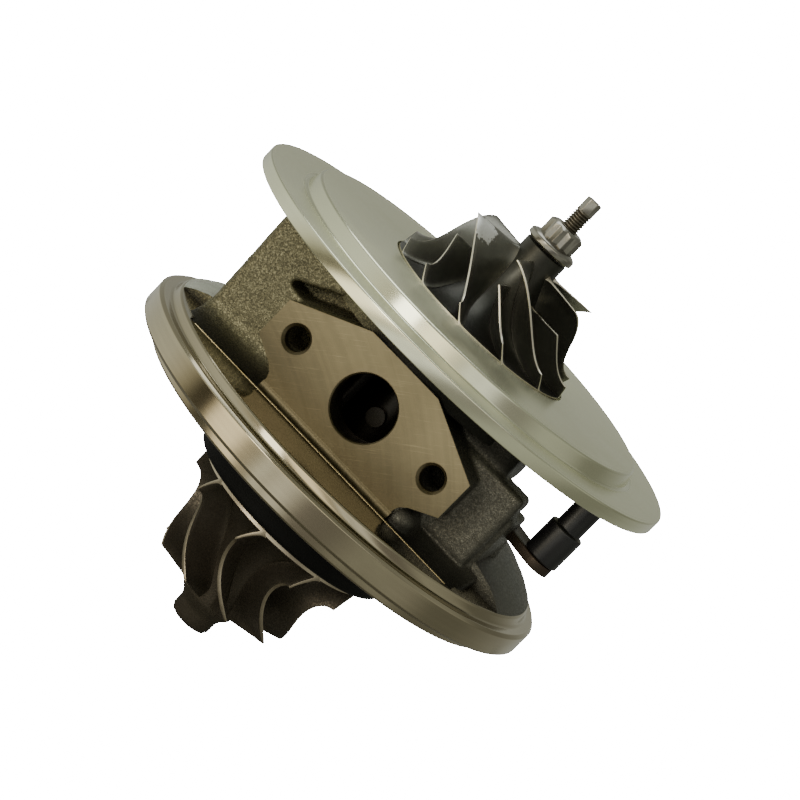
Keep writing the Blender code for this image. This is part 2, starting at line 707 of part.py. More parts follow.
def threaded_hole_tool(name, radius, depth, chamfer):
    """Drilled hole with a chamfered mouth at z = 0 and its tip at z = depth."""
    profile = [
        (0.0, depth + radius * 0.6),
        (radius, depth),
        (radius, chamfer),
        (radius + chamfer * 2, -chamfer),
        (0.0, -chamfer),
    ]
    return turned(name, profile, STEPS_SMALL, is_tool=True)


def inlet_boss():
    boss = turned(
        "inlet_boss_tool",
        [
            (0.0, INLET_HEIGHT),
            (INLET_BOSS_RADIUS - INLET_BOSS_CHAMFER, INLET_HEIGHT),
            (INLET_BOSS_RADIUS, INLET_HEIGHT - INLET_BOSS_CHAMFER),
            (INLET_BOSS_RADIUS + INLET_BOSS_FLARE, NECK_RADIUS - INLET_BOSS_SINK / 2),
            (INLET_BOSS_RADIUS + INLET_BOSS_FLARE, NECK_RADIUS - INLET_BOSS_SINK),
            (0.0, NECK_RADIUS - INLET_BOSS_SINK),
        ],
        STEPS_MEDIUM,
        is_tool=True,
    )
    turn_to_y(boss, 0.0, 0.0, INLET_Z)
    return boss


def inlet_tools():
    port = threaded_hole_tool("inlet_port_tool", INLET_THREAD_RADIUS, INLET_THREAD_DEPTH, 0.7 * MM)
    port.location = (0.0, INLET_HEIGHT, INLET_Z)
    port.rotation_euler = (math.pi / 2, 0.0, 0.0)
    feed = disc_tool("inlet_feed_tool", INLET_FEED_RADIUS, 0.0, INLET_HEIGHT, STEPS_FASTENER)
    turn_to_y(feed, 0.0, BEARING_RADIUS - OVERSHOOT, INLET_Z)
    feed_length = INLET_HEIGHT - INLET_THREAD_DEPTH - BEARING_RADIUS + 2.0 * MM
    feed.scale = (1.0, 1.0, feed_length / INLET_HEIGHT)
    return [port, feed]


def pad_bolt_tools():
    tools = []
    for index, side in enumerate((-1.0, 1.0)):
        tool = threaded_hole_tool(
            f"pad_bolt_tool_{index}", PAD_THREAD_RADIUS, PAD_THREAD_DEPTH, PAD_THREAD_CHAMFER
        )
        turn_to_y(tool, side * PAD_BOLT_SPACING / 2, -PAD_HEIGHT, PAD_CENTRE_Z)
        tools.append(tool)
    return tools


def crank_boss():
    boss = turned(
        "crank_boss_tool",
        [
            (0.0, CRANK_BOSS_TOP_Z),
            (CRANK_BOSS_RADIUS - 0.7 * MM, CRANK_BOSS_TOP_Z),
            (CRANK_BOSS_RADIUS, CRANK_BOSS_TOP_Z - 0.7 * MM),
            (CRANK_BOSS_RADIUS, RIM_THICKNESS - 3.0 * MM),
            (0.0, RIM_THICKNESS - 3.0 * MM),
        ],
        STEPS_SMALL,
        is_tool=True,
    )
    boss.location = (CRANK_X, CRANK_Y, 0.0)
    return boss


def crank_bore_tool():
    bore = disc_tool(
        "crank_bore_tool",
        BUSH_RADIUS + SEAT_GAP,
        SPIGOT_Z - OVERSHOOT,
        CRANK_BOSS_TOP_Z + 3.0 * MM,
        STEPS_SMALL,
    )
    bore.location = (CRANK_X, CRANK_Y, 0.0)
    return bore


def plate_screw_angles():
    step = math.tau / SCREW_COUNT
    return [SCREW_FIRST_ANGLE + i * step for i in range(SCREW_COUNT)]


def make_housing():
    housing = turned("bearing_housing", housing_profile(), STEPS_LARGE, CAST_IRON)
    reach = RIM_RADIUS + CUTTER_MARGIN
    relief_top = HOUSING_LENGTH - FRONT_FLANGE_THICKNESS
    near_relief = box(
        "near_relief_tool",
        (-reach, -reach, STEP_TOP_Z),
        (reach, -EAR_FACE, relief_top),
        is_tool=True,
    )
    floor_relief = box(
        "floor_relief_tool",
        (-reach, -MILLED_EDGE, MILLED_FLOOR_Z),
        (reach, -EAR_FACE, STEP_TOP_Z + OVERSHOOT),
        is_tool=True,
    )
    cut(housing, near_relief, floor_relief)
    ear = box(
        "ear_tool",
        (NECK_RADIUS / 2, -EAR_FACE, EAR_BOTTOM_Z),
        (EAR_REACH, -EAR_FACE + EAR_DEPTH, EAR_TOP_Z),
        is_tool=True,
    )
    round_edges(ear, EAR_ROUND, 2)
    fuse(housing, wing(), ear, crank_boss(), inlet_boss(), drain_pad(), pad_ledge())
    tools = [bore_tool(), crank_bore_tool()]
    tools += drain_tools() + inlet_tools() + pad_bolt_tools()
    pin_hole_radius = PIN_RADIUS + SEAT_GAP
    pin_hole = disc_tool(
        "pin_hole_tool", pin_hole_radius, 0.0, BEARING_TUBE_RADIUS, STEPS_FASTENER
    )
    turn_to_y(pin_hole, 0.0, -BEARING_TUBE_RADIUS - OVERSHOOT, PIN_Z)
    tools.append(pin_hole)
    for index, angle in enumerate(plate_screw_angles()):
        hole = disc_tool(
            f"plate_screw_hole_tool_{index}",
            SCREW_SHANK_RADIUS + SEAT_GAP,
            HOUSING_LENGTH - SCREW_GRIP,
            HOUSING_LENGTH + OVERSHOOT,
            STEPS_FASTENER,
        )
        hole.location = polar(SCREW_CIRCLE_RADIUS, angle)
        tools.append(hole)
    dowel_hole = disc_tool(
        "dowel_hole_tool",
        DOWEL_RADIUS + SEAT_GAP,
        SPIGOT_Z - OVERSHOOT,
        SPIGOT_Z + DOWEL_SUNK + SEAT_GAP,
        STEPS_FASTENER,
    )
    dowel_hole.location = polar(DOWEL_CIRCLE_RADIUS, DOWEL_ANGLE)
    tools.append(dowel_hole)
    groove_bottom = HOUSING_LENGTH - O_RING_SECTION_RADIUS * 2 - SEAT_GAP
    groove = ring(
        "o_ring_groove_tool",
        O_RING_CIRCLE_RADIUS - O_RING_SECTION_RADIUS - SEAT_GAP,
        O_RING_CIRCLE_RADIUS + O_RING_SECTION_RADIUS + SEAT_GAP,
        groove_bottom,
        HOUSING_LENGTH + OVERSHOOT,
        STEPS_MEDIUM,
        is_tool=True,
    )
    tools.append(groove)
    cut(housing, *tools)
    return housing


# Compressor back plate and what fixes it
def make_back_plate():
    groove_outer = PLATE_STEP_RADIUS + PLATE_GROOVE_WIDTH
    rim_front = PLATE_REAR_Z + PLATE_RIM_THICKNESS
    seat = HOUSING_LENGTH + SEAT_GAP
    spigot_bottom = DEFLECTOR_END_Z + SEAT_GAP
    profile = [
        (PLATE_BORE_RADIUS, RECESS_FLOOR_Z),
        (WHEEL_RECESS_RADIUS, RECESS_FLOOR_Z),
        (WHEEL_RECESS_RADIUS, PLATE_FACE_Z - PLATE_STEP_CHAMFER),
        (WHEEL_RECESS_RADIUS + PLATE_STEP_CHAMFER, PLATE_FACE_Z),
        (PLATE_STEP_RADIUS - PLATE_STEP_CHAMFER, PLATE_FACE_Z),
        (PLATE_STEP_RADIUS, PLATE_FACE_Z - PLATE_STEP_CHAMFER),
        (PLATE_STEP_RADIUS, rim_front - PLATE_GROOVE_DEPTH),
        (groove_outer, rim_front - PLATE_GROOVE_DEPTH),
        (groove_outer, rim_front),
        (PLATE_RADIUS - PLATE_RIM_CHAMFER, rim_front),
        (PLATE_RADIUS, rim_front - PLATE_RIM_CHAMFER),
        (PLATE_RADIUS, PLATE_REAR_Z + PLATE_RIM_CHAMFER),
        (PLATE_RADIUS - PLATE_RIM_CHAMFER, PLATE_REAR_Z),
        (PLATE_HUB_RADIUS, PLATE_REAR_Z),
        (PLATE_HUB_RADIUS, seat),
        (THRUST_POCKET_RADIUS - SEAT_GAP, seat),
        (THRUST_POCKET_RADIUS - SEAT_GAP, spigot_bottom),
        (FLINGER_DISC_RADIUS + RUNNING_GAP, spigot_bottom),
        (FLINGER_DISC_RADIUS + RUNNING_GAP, FLINGER_DISC_END_Z + RUNNING_GAP),
        (PLATE_BORE_RADIUS, FLINGER_DISC_END_Z + RUNNING_GAP),
    ]
    plate = turned("compressor_back_plate", profile, STEPS_LARGE, ALUMINIUM, closed=True)
    head_seat = RECESS_FLOOR_Z - SCREW_HEAD_HEIGHT - SEAT_GAP
    tools = []
    for index, angle in enumerate(plate_screw_angles()):
        pocket = disc_tool(
            f"screw_pocket_tool_{index}",
            SCREW_HEAD_RADIUS + SEAT_GAP,
            head_seat,
            RECESS_FLOOR_Z + OVERSHOOT,
            STEPS_FASTENER,
        )
        hole = disc_tool(
            f"screw_clearance_tool_{index}",
            SCREW_SHANK_RADIUS + SEAT_GAP,
            HOUSING_LENGTH - OVERSHOOT,
            head_seat + OVERSHOOT,
            STEPS_FASTENER,
        )
        pocket.location = polar(SCREW_CIRCLE_RADIUS, angle)
        hole.location = polar(SCREW_CIRCLE_RADIUS, angle)
        tools += [pocket, hole]
    cut(plate, *tools)
    return plate


def make_plate_screws():
    head_bottom = RECESS_FLOOR_Z - SCREW_HEAD_HEIGHT
    head_top = RECESS_FLOOR_Z
    tip = HOUSING_LENGTH - SCREW_GRIP + 1.0 * MM
    for index, angle in enumerate(plate_screw_angles()):
        screw = turned(
            f"back_plate_screw_{index + 1}",
            [
                (0.0, head_top),
                (SCREW_HEAD_RADIUS - 0.4 * MM, head_top),
                (SCREW_HEAD_RADIUS, head_top - 0.4 * MM),
                (SCREW_HEAD_RADIUS, head_bottom),
                (SCREW_SHANK_RADIUS, head_bottom),
                (SCREW_SHANK_RADIUS, tip + 0.6 * MM),
                (SCREW_SHANK_RADIUS - 0.6 * MM, tip),
                (0.0, tip),
            ],
            STEPS_FASTENER,
            STEEL,
        )
        screw.location = polar(SCREW_CIRCLE_RADIUS, angle)
        corner = SCREW_SOCKET_FLATS / math.sqrt(3.0)
        socket = prism(
            f"screw_socket_tool_{index}",
            regular_outline(6, corner),
            head_top - SCREW_HEAD_HEIGHT * 0.6,
            head_top + OVERSHOOT,
            is_tool=True,
        )
        socket.location = polar(SCREW_CIRCLE_RADIUS, angle)
        cut(screw, socket)


def make_o_ring():
    section = arc_points(
        (O_RING_CIRCLE_RADIUS, HOUSING_LENGTH - O_RING_SECTION_RADIUS),
        O_RING_SECTION_RADIUS,
        O_RING_SECTION_RADIUS,
        math.pi / 2,
        -math.pi * 1.5,
        8,
    )
    return turned(
        "back_plate_o_ring", section[:-1], STEPS_MEDIUM, RUBBER, closed=True
    )


# Bearings and seals held by the housing
def make_journal_bearing():
    inner = JOURNAL_RADIUS + SEAT_GAP
    land_end = BEARING_START_Z + BEARING_LAND
    far_land = BEARING_END_Z - BEARING_LAND
    bearing = turned(
        "journal_bearing",
        [
            (inner, BEARING_END_Z),
            (BEARING_RADIUS, BEARING_END_Z),
            (BEARING_RADIUS, far_land),
            (BEARING_WAIST_RADIUS, far_land - 0.9 * MM),
            (BEARING_WAIST_RADIUS, land_end + 0.9 * MM),
            (BEARING_RADIUS, land_end),
            (BEARING_RADIUS, BEARING_START_Z),
            (inner, BEARING_START_Z),
        ],
        STEPS_SMALL,
        BRONZE,
        closed=True,
    )
    for index, level in enumerate(
        (BEARING_START_Z + BEARING_LAND / 2, BEARING_END_Z - BEARING_LAND / 2)
    ):
        hole = disc_tool(
            f"oil_hole_tool_{index}",
            OIL_HOLE_RADIUS,
            -BEARING_RADIUS * 2,
            BEARING_RADIUS * 2,
            STEPS_FASTENER,
        )
        turn_to_y(hole, 0.0, 0.0, level)
        cut(bearing, hole)
    pin_hole = disc_tool(
        "bearing_pin_tool", PIN_RADIUS + SEAT_GAP, 0.0, BEARING_RADIUS, STEPS_FASTENER
    )
    turn_to_y(pin_hole, 0.0, -BEARING_RADIUS - OVERSHOOT, PIN_Z)
    cut(bearing, pin_hole)
    return bearing


def make_locating_pin():
    """Screwed pin whose tip sits in the bearing's waist, seen down the drain."""
    tip = BEARING_WAIST_RADIUS - 0.6 * MM
    head_seat = BEARING_TUBE_RADIUS + SEAT_GAP
    length = head_seat - tip
    pin = turned(
        "bearing_locating_pin",
        [
            (0.0, length),
            (PIN_RADIUS, length),
            (PIN_RADIUS, 0.0),
            (PIN_HEAD_RADIUS, 0.0),
            (PIN_HEAD_RADIUS, -PIN_HEAD_THICKNESS),
            (0.0, -PIN_HEAD_THICKNESS),
        ],
        STEPS_FASTENER,
        STEEL,
    )
    turn_to_y(pin, 0.0, -head_seat, PIN_Z)
    return pin


def make_seal_ring(name, bore_radius, level):
    outer = bore_radius - SEAT_GAP
    seal = ring(
        name,
        outer - RING_DEPTH,
        outer,
        level - RING_WIDTH / 2,
        level + RING_WIDTH / 2,
        STEPS_MEDIUM,
        STEEL,
    )
    split = box(
        f"{name}_split_tool",
        (0.0, -RING_SPLIT / 2, level - RING_WIDTH),
        (outer * 2, RING_SPLIT / 2, level + RING_WIDTH),
        is_tool=True,
    )
    cut(seal, split)
    return seal


def lower_notch_tool(name, inner, bottom, top):
    return box(
        name,
        (-FRONT_PASSAGE_HALF_WIDTH, -THRUST_POCKET_RADIUS * 2, bottom - OVERSHOOT),
        (FRONT_PASSAGE_HALF_WIDTH, -inner, top + OVERSHOOT),
        is_tool=True,
    )


def make_thrust_bearing():
    bearing = ring(
        "thrust_bearing",
        THRUST_BORE_RADIUS,
        THRUST_POCKET_RADIUS - SEAT_GAP,
        THRUST_START_Z,
        THRUST_END_Z,
        STEPS_MEDIUM,
        BRONZE,
    )
    inner = COLLAR_RADIUS + RUNNING_GAP
    notch = lower_notch_tool("thrust_notch_tool", inner, THRUST_START_Z, THRUST_END_Z)
    cut(bearing, notch)
    return bearing


def make_oil_deflector():
    deflector = ring(
        "oil_deflector",
        FLINGER_DISC_RADIUS + RUNNING_GAP,
        THRUST_POCKET_RADIUS - SEAT_GAP,
        DEFLECTOR_START_Z,
        DEFLECTOR_END_Z,
        STEPS_MEDIUM,
        STEEL,
    )
    notch = lower_notch_tool(
        "deflector_notch_tool",
        FLINGER_DISC_RADIUS / 2,
        DEFLECTOR_START_Z,
        DEFLECTOR_END_Z,
    )
    cut(deflector, notch)
    return deflector


def make_heat_shield():
    """Pressed cup: brim on the spigot face, rounded corner, pierced floor."""
    brim_top = SPIGOT_Z - SEAT_GAP
    brim_bottom = brim_top - SHIELD_SHEET
    wall_inner = SHIELD_RADIUS - SHIELD_SHEET
    corner_centre = (SHIELD_RADIUS - SHIELD_CORNER, SHIELD_FLOOR_Z + SHIELD_CORNER)
    outer_corner = arc_points(
        corner_centre, SHIELD_CORNER, SHIELD_CORNER, 0.0, -math.pi / 2, 2
    )
    inner_radius = SHIELD_CORNER - SHIELD_SHEET
    inner_corner = arc_points(
        corner_centre, inner_radius, inner_radius, -math.pi / 2, 0.0, 2
    )
    profile = [(wall_inner, brim_top), (SHIELD_BRIM_RADIUS, brim_top)]
    profile.append((SHIELD_BRIM_RADIUS, brim_bottom))
    profile.append((SHIELD_RADIUS, brim_bottom))
    profile.extend(outer_corner)
    profile.append((SHIELD_HOLE_RADIUS, SHIELD_FLOOR_Z))
    profile.append((SHIELD_HOLE_RADIUS, SHIELD_FLOOR_Z + SHIELD_SHEET))
    profile.extend(inner_corner)
    return turned("heat_shield", profile, STEPS_LARGE, DARK_STEEL, closed=True)


def make_flange_dowel():
    dowel = turned(
        "flange_dowel",
        [
            (0.0, SPIGOT_Z + DOWEL_SUNK),
            (DOWEL_RADIUS, SPIGOT_Z + DOWEL_SUNK),
            (DOWEL_RADIUS, SPIGOT_Z - DOWEL_PROUD + 0.4 * MM),
            (DOWEL_RADIUS - 0.4 * MM, SPIGOT_Z - DOWEL_PROUD),
            (0.0, SPIGOT_Z - DOWEL_PROUD),
        ],
        STEPS_FASTENER,
        STEEL,
    )
    dowel.location = polar(DOWEL_CIRCLE_RADIUS, DOWEL_ANGLE)
    return dowel


# Rotor
def make_shaft():
    root_end = SHAFT_ROOT_Z + SHAFT_ROOT_LENGTH
    waist_start = BEARING_START_Z + BEARING_LAND
    waist_end = BEARING_END_Z - BEARING_LAND
    shaft = turned(
        "rotor_shaft",
        [
            (0.0, STUB_END_Z),
            (STUB_RADIUS - 0.3 * MM, STUB_END_Z),
            (STUB_RADIUS, STUB_END_Z - 0.3 * MM),
            (STUB_RADIUS, SHOULDER_Z),
            (JOURNAL_RADIUS, SHOULDER_Z),
            (JOURNAL_RADIUS, waist_end),
            (WAIST_RADIUS, waist_end - 1.0 * MM),
            (WAIST_RADIUS, waist_start + 1.0 * MM),
            (JOURNAL_RADIUS, waist_start),
            (JOURNAL_RADIUS, root_end + 2.0 * MM),
            (JOURNAL_RADIUS + 0.7 * MM, root_end + 0.6 * MM),
            (SHAFT_ROOT_RADIUS, root_end),
            (SHAFT_ROOT_RADIUS, SHAFT_ROOT_Z),
            (0.0, SHAFT_ROOT_Z),
        ],
        STEPS_SMALL,
        STEEL,
    )
    drive = prism(
        "drive_hex_tool",
        regular_outline(6, DRIVE_FLATS / math.sqrt(3.0), math.radians(8.5)),
        STUB_END_Z - OVERSHOOT,
        STUB_END_Z + DRIVE_LENGTH,
        is_tool=True,
    )
    fuse(shaft, drive)
    return shaft


def make_thrust_collar():
    return turned(
        "thrust_collar",
        [
            (STUB_BORE_RADIUS, THRUST_END_Z),
            (COLLAR_NECK_RADIUS, THRUST_END_Z),
            (COLLAR_NECK_RADIUS, COLLAR_DISC_END_Z),
            (COLLAR_RADIUS, COLLAR_DISC_END_Z),
            (COLLAR_RADIUS, COLLAR_START_Z),
            (STUB_BORE_RADIUS, COLLAR_START_Z),
        ],
        STEPS_SMALL,
        STEEL,
        closed=True,
    )


def groove_points(radius, level, bore_radius):
    """Ring groove in a hub, listed from its top edge down."""
    floor = bore_radius - SEAT_GAP - RING_DEPTH - SEAT_GAP
    half = RING_WIDTH / 2 + SEAT_GAP
    return [
        (radius, level + half),
        (floor, level + half),
        (floor, level - half),
        (radius, level - half),
    ]


def make_flinger():
    profile = [(STUB_BORE_RADIUS, FLINGER_END_Z), (FLINGER_RADIUS, FLINGER_END_Z)]
    profile.extend(groove_points(FLINGER_RADIUS, COMPRESSOR_RING_Z, PLATE_BORE_RADIUS))
    profile.append((FLINGER_RADIUS, FLINGER_DISC_END_Z))
    profile.append((FLINGER_DISC_RADIUS, FLINGER_DISC_END_Z))
    profile.append((FLINGER_DISC_RADIUS, FLINGER_START_Z))
    profile.append((STUB_BORE_RADIUS, FLINGER_START_Z))
    return turned("oil_flinger", profile, STEPS_SMALL, STEEL, closed=True)


def smooth_step(value):
    value = min(max(value, 0.0), 1.0)
    return value * value * (3.0 - 2.0 * value)


def quarter_curve(start, end, amount, fullness):
    """Point between start and end that leaves along Z and arrives along R."""
    angle = amount * math.pi / 2
    radial = (1.0 - math.cos(angle)) ** fullness
    axial = math.sin(angle) ** (1.0 / fullness)
    return (
        start[0] + (end[0] - start[0]) * radial,
        start[1] + (end[1] - start[1]) * axial,
    )


def blade_sheet(name, hub_line, tip_line, turn_of, along, across, thickness):
    """Thin blade between a hub line and a tip line, solid to its thickness."""
    bm = bmesh.new()
    bmesh.ops.create_grid(bm, x_segments=along, y_segments=across, size=0.5)
    for vert in bm.verts:
        stream = vert.co.x + 0.5
        height = vert.co.y + 0.5
        hub_r, hub_z = hub_line(stream)
        tip_r, tip_z = tip_line(stream)
        r = hub_r + (tip_r - hub_r) * height
        z = hub_z + (tip_z - hub_z) * height
        vert.co = Vector(polar(r, turn_of(stream, height), z))
    sheet = object_from_bmesh(name, bm, is_tool=True)
    solid = sheet.modifiers.new("thickness", "SOLIDIFY")
    solid.thickness = thickness
    solid.offset = 0.0
    solid.use_even_offset = True
    return sheet


def blade_row(name, sheets_and_angles):
    """Join turned copies of blade sheets into one tool object."""
    bm = bmesh.new()
    for sheet, angles in sheets_and_angles:
        mesh = evaluated_mesh(sheet)
        for angle in angles:
            start = len(bm.verts)
            bm.from_mesh(mesh)
            bm.verts.ensure_lookup_table()
            turn = Matrix.Rotation(angle, 3, "Z")
            bmesh.ops.transform(bm, matrix=turn.to_4x4(), verts=bm.verts[start:])
    return object_from_bmesh(name, bm, is_tool=True)


# Compressor wheel
def wheel_hub_point(amount):
    """Hub line from the inlet (0) to the disc edge (1)."""
    start = (WHEEL_HUB_RADIUS, WHEEL_INLET_Z)
    end = (WHEEL_RADIUS, WHEEL_DISC_FRONT_Z)
    return quarter_curve(start, end, amount, 1.0)


def wheel_tip_point(amount):
    start = (WHEEL_INDUCER_RADIUS, WHEEL_INLET_Z)
    end = (WHEEL_RADIUS, WHEEL_DISC_FRONT_Z + WHEEL_TIP_WIDTH)
    return quarter_curve(start, end, amount, 1.15)


def wheel_blade_turn(amount, height):
    """Angle gained from the inlet, steep there and nearly radial at the outlet."""
    turned_share = math.sin(amount * math.pi / 2) ** WHEEL_TURN_POWER
    lean = WHEEL_LEAN * (1.0 - height) * smooth_step((amount - 0.55) / 0.45)
    return WHEEL_WRAP * turned_share + lean


def wheel_blade(name, start_amount, along):
    def stream_amount(stream):
        return start_amount + (1.0 - start_amount) * stream**1.4

    def sunk_hub(stream):
        r, z = wheel_hub_point(stream_amount(stream))
        edge = smooth_step((stream_amount(stream) - 0.5) / 0.5)
        return (r - BLADE_SINK * (1.0 - edge), z - BLADE_SINK * edge)

    def tip(stream):
        return wheel_tip_point(stream_amount(stream))

    def turn_of(stream, height):
        return wheel_blade_turn(stream_amount(stream), height)

    return blade_sheet(name, sunk_hub, tip, turn_of, along, 1, WHEEL_BLADE_THICKNESS)


def make_compressor_wheel():
    hub_line = [wheel_hub_point(i / 5) for i in range(6)]
    nose = [
        (STUB_BORE_RADIUS, WHEEL_NOSE_Z),
        (WHEEL_HUB_RADIUS - 0.4 * MM, WHEEL_NOSE_Z),
        (WHEEL_HUB_RADIUS, WHEEL_NOSE_Z - 0.4 * MM),
    ]
    edge_z = WHEEL_DISC_FRONT_Z - WHEEL_DISC_EDGE
    back = [
        (WHEEL_RADIUS, edge_z),
        (WHEEL_RADIUS * 0.6, WHEEL_BACK_Z + 0.5 * MM),
        (WHEEL_RADIUS * 0.4, WHEEL_BACK_Z),
        (STUB_BORE_RADIUS, WHEEL_BACK_Z),
    ]
    wheel = turned(
        "compressor_wheel", nose + hub_line + back, STEPS_WHEEL, WHEEL_ALLOY, closed=True
    )
    inlet_depth = WHEEL_INLET_Z - WHEEL_DISC_FRONT_Z
    splitter_depth = WHEEL_INLET_Z - SPLITTER_INLET_Z
    splitter_start = math.asin(splitter_depth / inlet_depth) / (math.pi / 2)
    full = wheel_blade("full_blade_tool", 0.0, 6)
    splitter = wheel_blade("splitter_blade_tool", splitter_start, 4)
    step = math.tau / COMPRESSOR_PAIRS
    full_angles = [WHEEL_FIRST_BLADE + i * step for i in range(COMPRESSOR_PAIRS)]
    splitter_angles = [angle + step / 2 for angle in full_angles]
    blades = blade_row(
        "compressor_blades_tool", [(full, full_angles), (splitter, splitter_angles)]
    )
    fuse(wheel, blades)
    return wheel


# Turbine wheel
def turbine_hub_point(amount):
    """Hub line from the disc edge (0) to the blade's outlet root (1)."""
    start = (TURBINE_RADIUS, TURBINE_BACK_Z - TURBINE_DISC_EDGE)
    end = (TURBINE_HUB_RADIUS, TURBINE_EXDUCER_ROOT_Z)
    angle = amount * math.pi / 2
    r = end[0] + (start[0] - end[0]) * (1.0 - math.sin(angle))
    z = start[1] + (end[1] - start[1]) * (1.0 - math.cos(angle))
    return (r, z)


def turbine_tip_point(amount):
    start = (TURBINE_RADIUS, TURBINE_BACK_Z - TURBINE_DISC_EDGE - TURBINE_TIP_WIDTH)
    end = (TURBINE_EXDUCER_RADIUS, TURBINE_EXDUCER_TIP_Z)
    angle = amount * math.pi / 2
    r = end[0] + (start[0] - end[0]) * (1.0 - math.sin(angle)) ** 1.5
    z = start[1] + (end[1] - start[1]) * (1.0 - math.cos(angle))
    return (r, z)


def make_turbine_wheel():
    hub_line = [turbine_hub_point(i / 5) for i in range(6)]
    edge_r, edge_z = hub_line[0]
    inner_back_z = -SEAL_BOSS_LENGTH - RUNNING_GAP
    profile = [(0.0, TURBINE_WELD_Z), (SEAL_HUB_RADIUS, TURBINE_WELD_Z)]
    profile.extend(groove_points(SEAL_HUB_RADIUS, TURBINE_RING_Z, SEAL_BORE_RADIUS))
    profile.append((SEAL_HUB_RADIUS, inner_back_z))
    profile.append((SHIELD_HOLE_RADIUS - RUNNING_GAP, inner_back_z - 1.2 * MM))
    profile.append((SHIELD_HOLE_RADIUS - RUNNING_GAP, SHIELD_FLOOR_Z - RUNNING_GAP))
    profile.append((edge_r, TURBINE_BACK_Z))
    profile.extend(hub_line)
    neck_z = TURBINE_EXDUCER_ROOT_Z - 1.5 * MM
    profile.append((TURBINE_HUB_RADIUS - 0.3 * MM, neck_z))
    profile.append((TURBINE_NOSE_RADIUS + 0.6 * MM, neck_z - 1.6 * MM))
    profile.append((TURBINE_NOSE_RADIUS, TURBINE_NOSE_Z + 1.6 * MM))
    profile.append((TURBINE_NOSE_RADIUS - 1.6 * MM, TURBINE_NOSE_Z))
    profile.append((0.0, TURBINE_NOSE_Z))
    wheel = turned("turbine_wheel", profile, STEPS_WHEEL, NICKEL_ALLOY)

    def sunk_hub(stream):
        r, z = turbine_hub_point(stream)
        edge = smooth_step(stream / 0.5)
        if stream < 0.5:
            return (r - BLADE_SINK * edge * 0.5, z + 0.5 * BLADE_SINK * (1.0 - edge))
        return (r - BLADE_SINK, z)

    def turn_of(stream, height):
        hub_z = turbine_hub_point(stream)[1]
        tip_z = turbine_tip_point(stream)[1]
        depth = edge_z - (hub_z + (tip_z - hub_z) * height)
        share = min(depth / (edge_z - TURBINE_EXDUCER_TIP_Z), 1.0)
        forward = TURBINE_FORWARD_TURN * share**TURBINE_TURN_POWER
        return forward - TURBINE_BACKWARD_TURN * share

    blade = blade_sheet(
        "turbine_blade_tool", sunk_hub, turbine_tip_point, turn_of, 6, 1, TURBINE_BLADE_THICKNESS
    )
    step = math.tau / TURBINE_BLADES
    angles = [TURBINE_FIRST_BLADE + i * step for i in range(TURBINE_BLADES)]
    blades = blade_row("turbine_blades_tool", [(blade, angles)])
    fuse(wheel, blades)
    return wheel


def make_shaft_nut():
    """Flanged twelve-point nut."""
    flange_top = NUT_START_Z + NUT_FLANGE_THICKNESS
    nut = turned(
        "shaft_nut",
        [
            (0.0, flange_top + 0.8 * MM),
            (NUT_POINT_RADIUS * 0.95, flange_top + 0.8 * MM),
            (NUT_FLANGE_RADIUS - 0.5 * MM, flange_top),
            (NUT_FLANGE_RADIUS, flange_top - 0.5 * MM),
            (NUT_FLANGE_RADIUS, NUT_START_Z + 0.4 * MM),
            (NUT_FLANGE_RADIUS - 0.4 * MM, NUT_START_Z),
            (0.0, NUT_START_Z),
        ],
        STEPS_MEDIUM,
        STEEL,
    )
    points = []
    for i in range(24):
        radius = NUT_POINT_RADIUS if i % 2 == 0 else NUT_POINT_RADIUS * 0.89
        angle = math.tau * i / 24
        points.append((radius * math.cos(angle), radius * math.sin(angle)))
    star = prism("nut_star_tool", points, flange_top, NUT_END_Z, is_tool=True)
    bore = disc_tool(
        "nut_bore_tool",
        STUB_BORE_RADIUS,
        NUT_START_Z - OVERSHOOT,
        NUT_END_Z + OVERSHOOT,
        STEPS_SMALL,
    )
    crown = turned(
        "nut_crown_tool",
        [
            (0.0, NUT_END_Z),
            (NUT_POINT_RADIUS - 0.9 * MM, NUT_END_Z),
            (NUT_POINT_RADIUS + 0.1 * MM, NUT_END_Z - 1.0 * MM),
            (NUT_POINT_RADIUS + 0.1 * MM, NUT_START_Z),
            (0.0, NUT_START_Z),
        ],
        STEPS_SMALL,
        is_tool=True,
    )
    keep_inside(star, crown)
    fuse(nut, star)
    cut(nut, bore)
    return nut


# Variable-nozzle crank
def link_outline(hub_radius, eye_radius, length, count=6):
    """Outline of an arm between two round ends, hub at the origin, eye at +X."""
    spread = math.acos((hub_radius - eye_radius) / length)
    points = []
    for i in range(count * 2 + 1):
        angle = spread + (math.tau - 2 * spread) * i / (count * 2)
        points.append((hub_radius * math.cos(angle), hub_radius * math.sin(angle)))
    for i in range(count + 1):
        angle = -spread + 2 * spread * i / count
        points.append((length + eye_radius * math.cos(angle), eye_radius * math.sin(angle)))
    return points


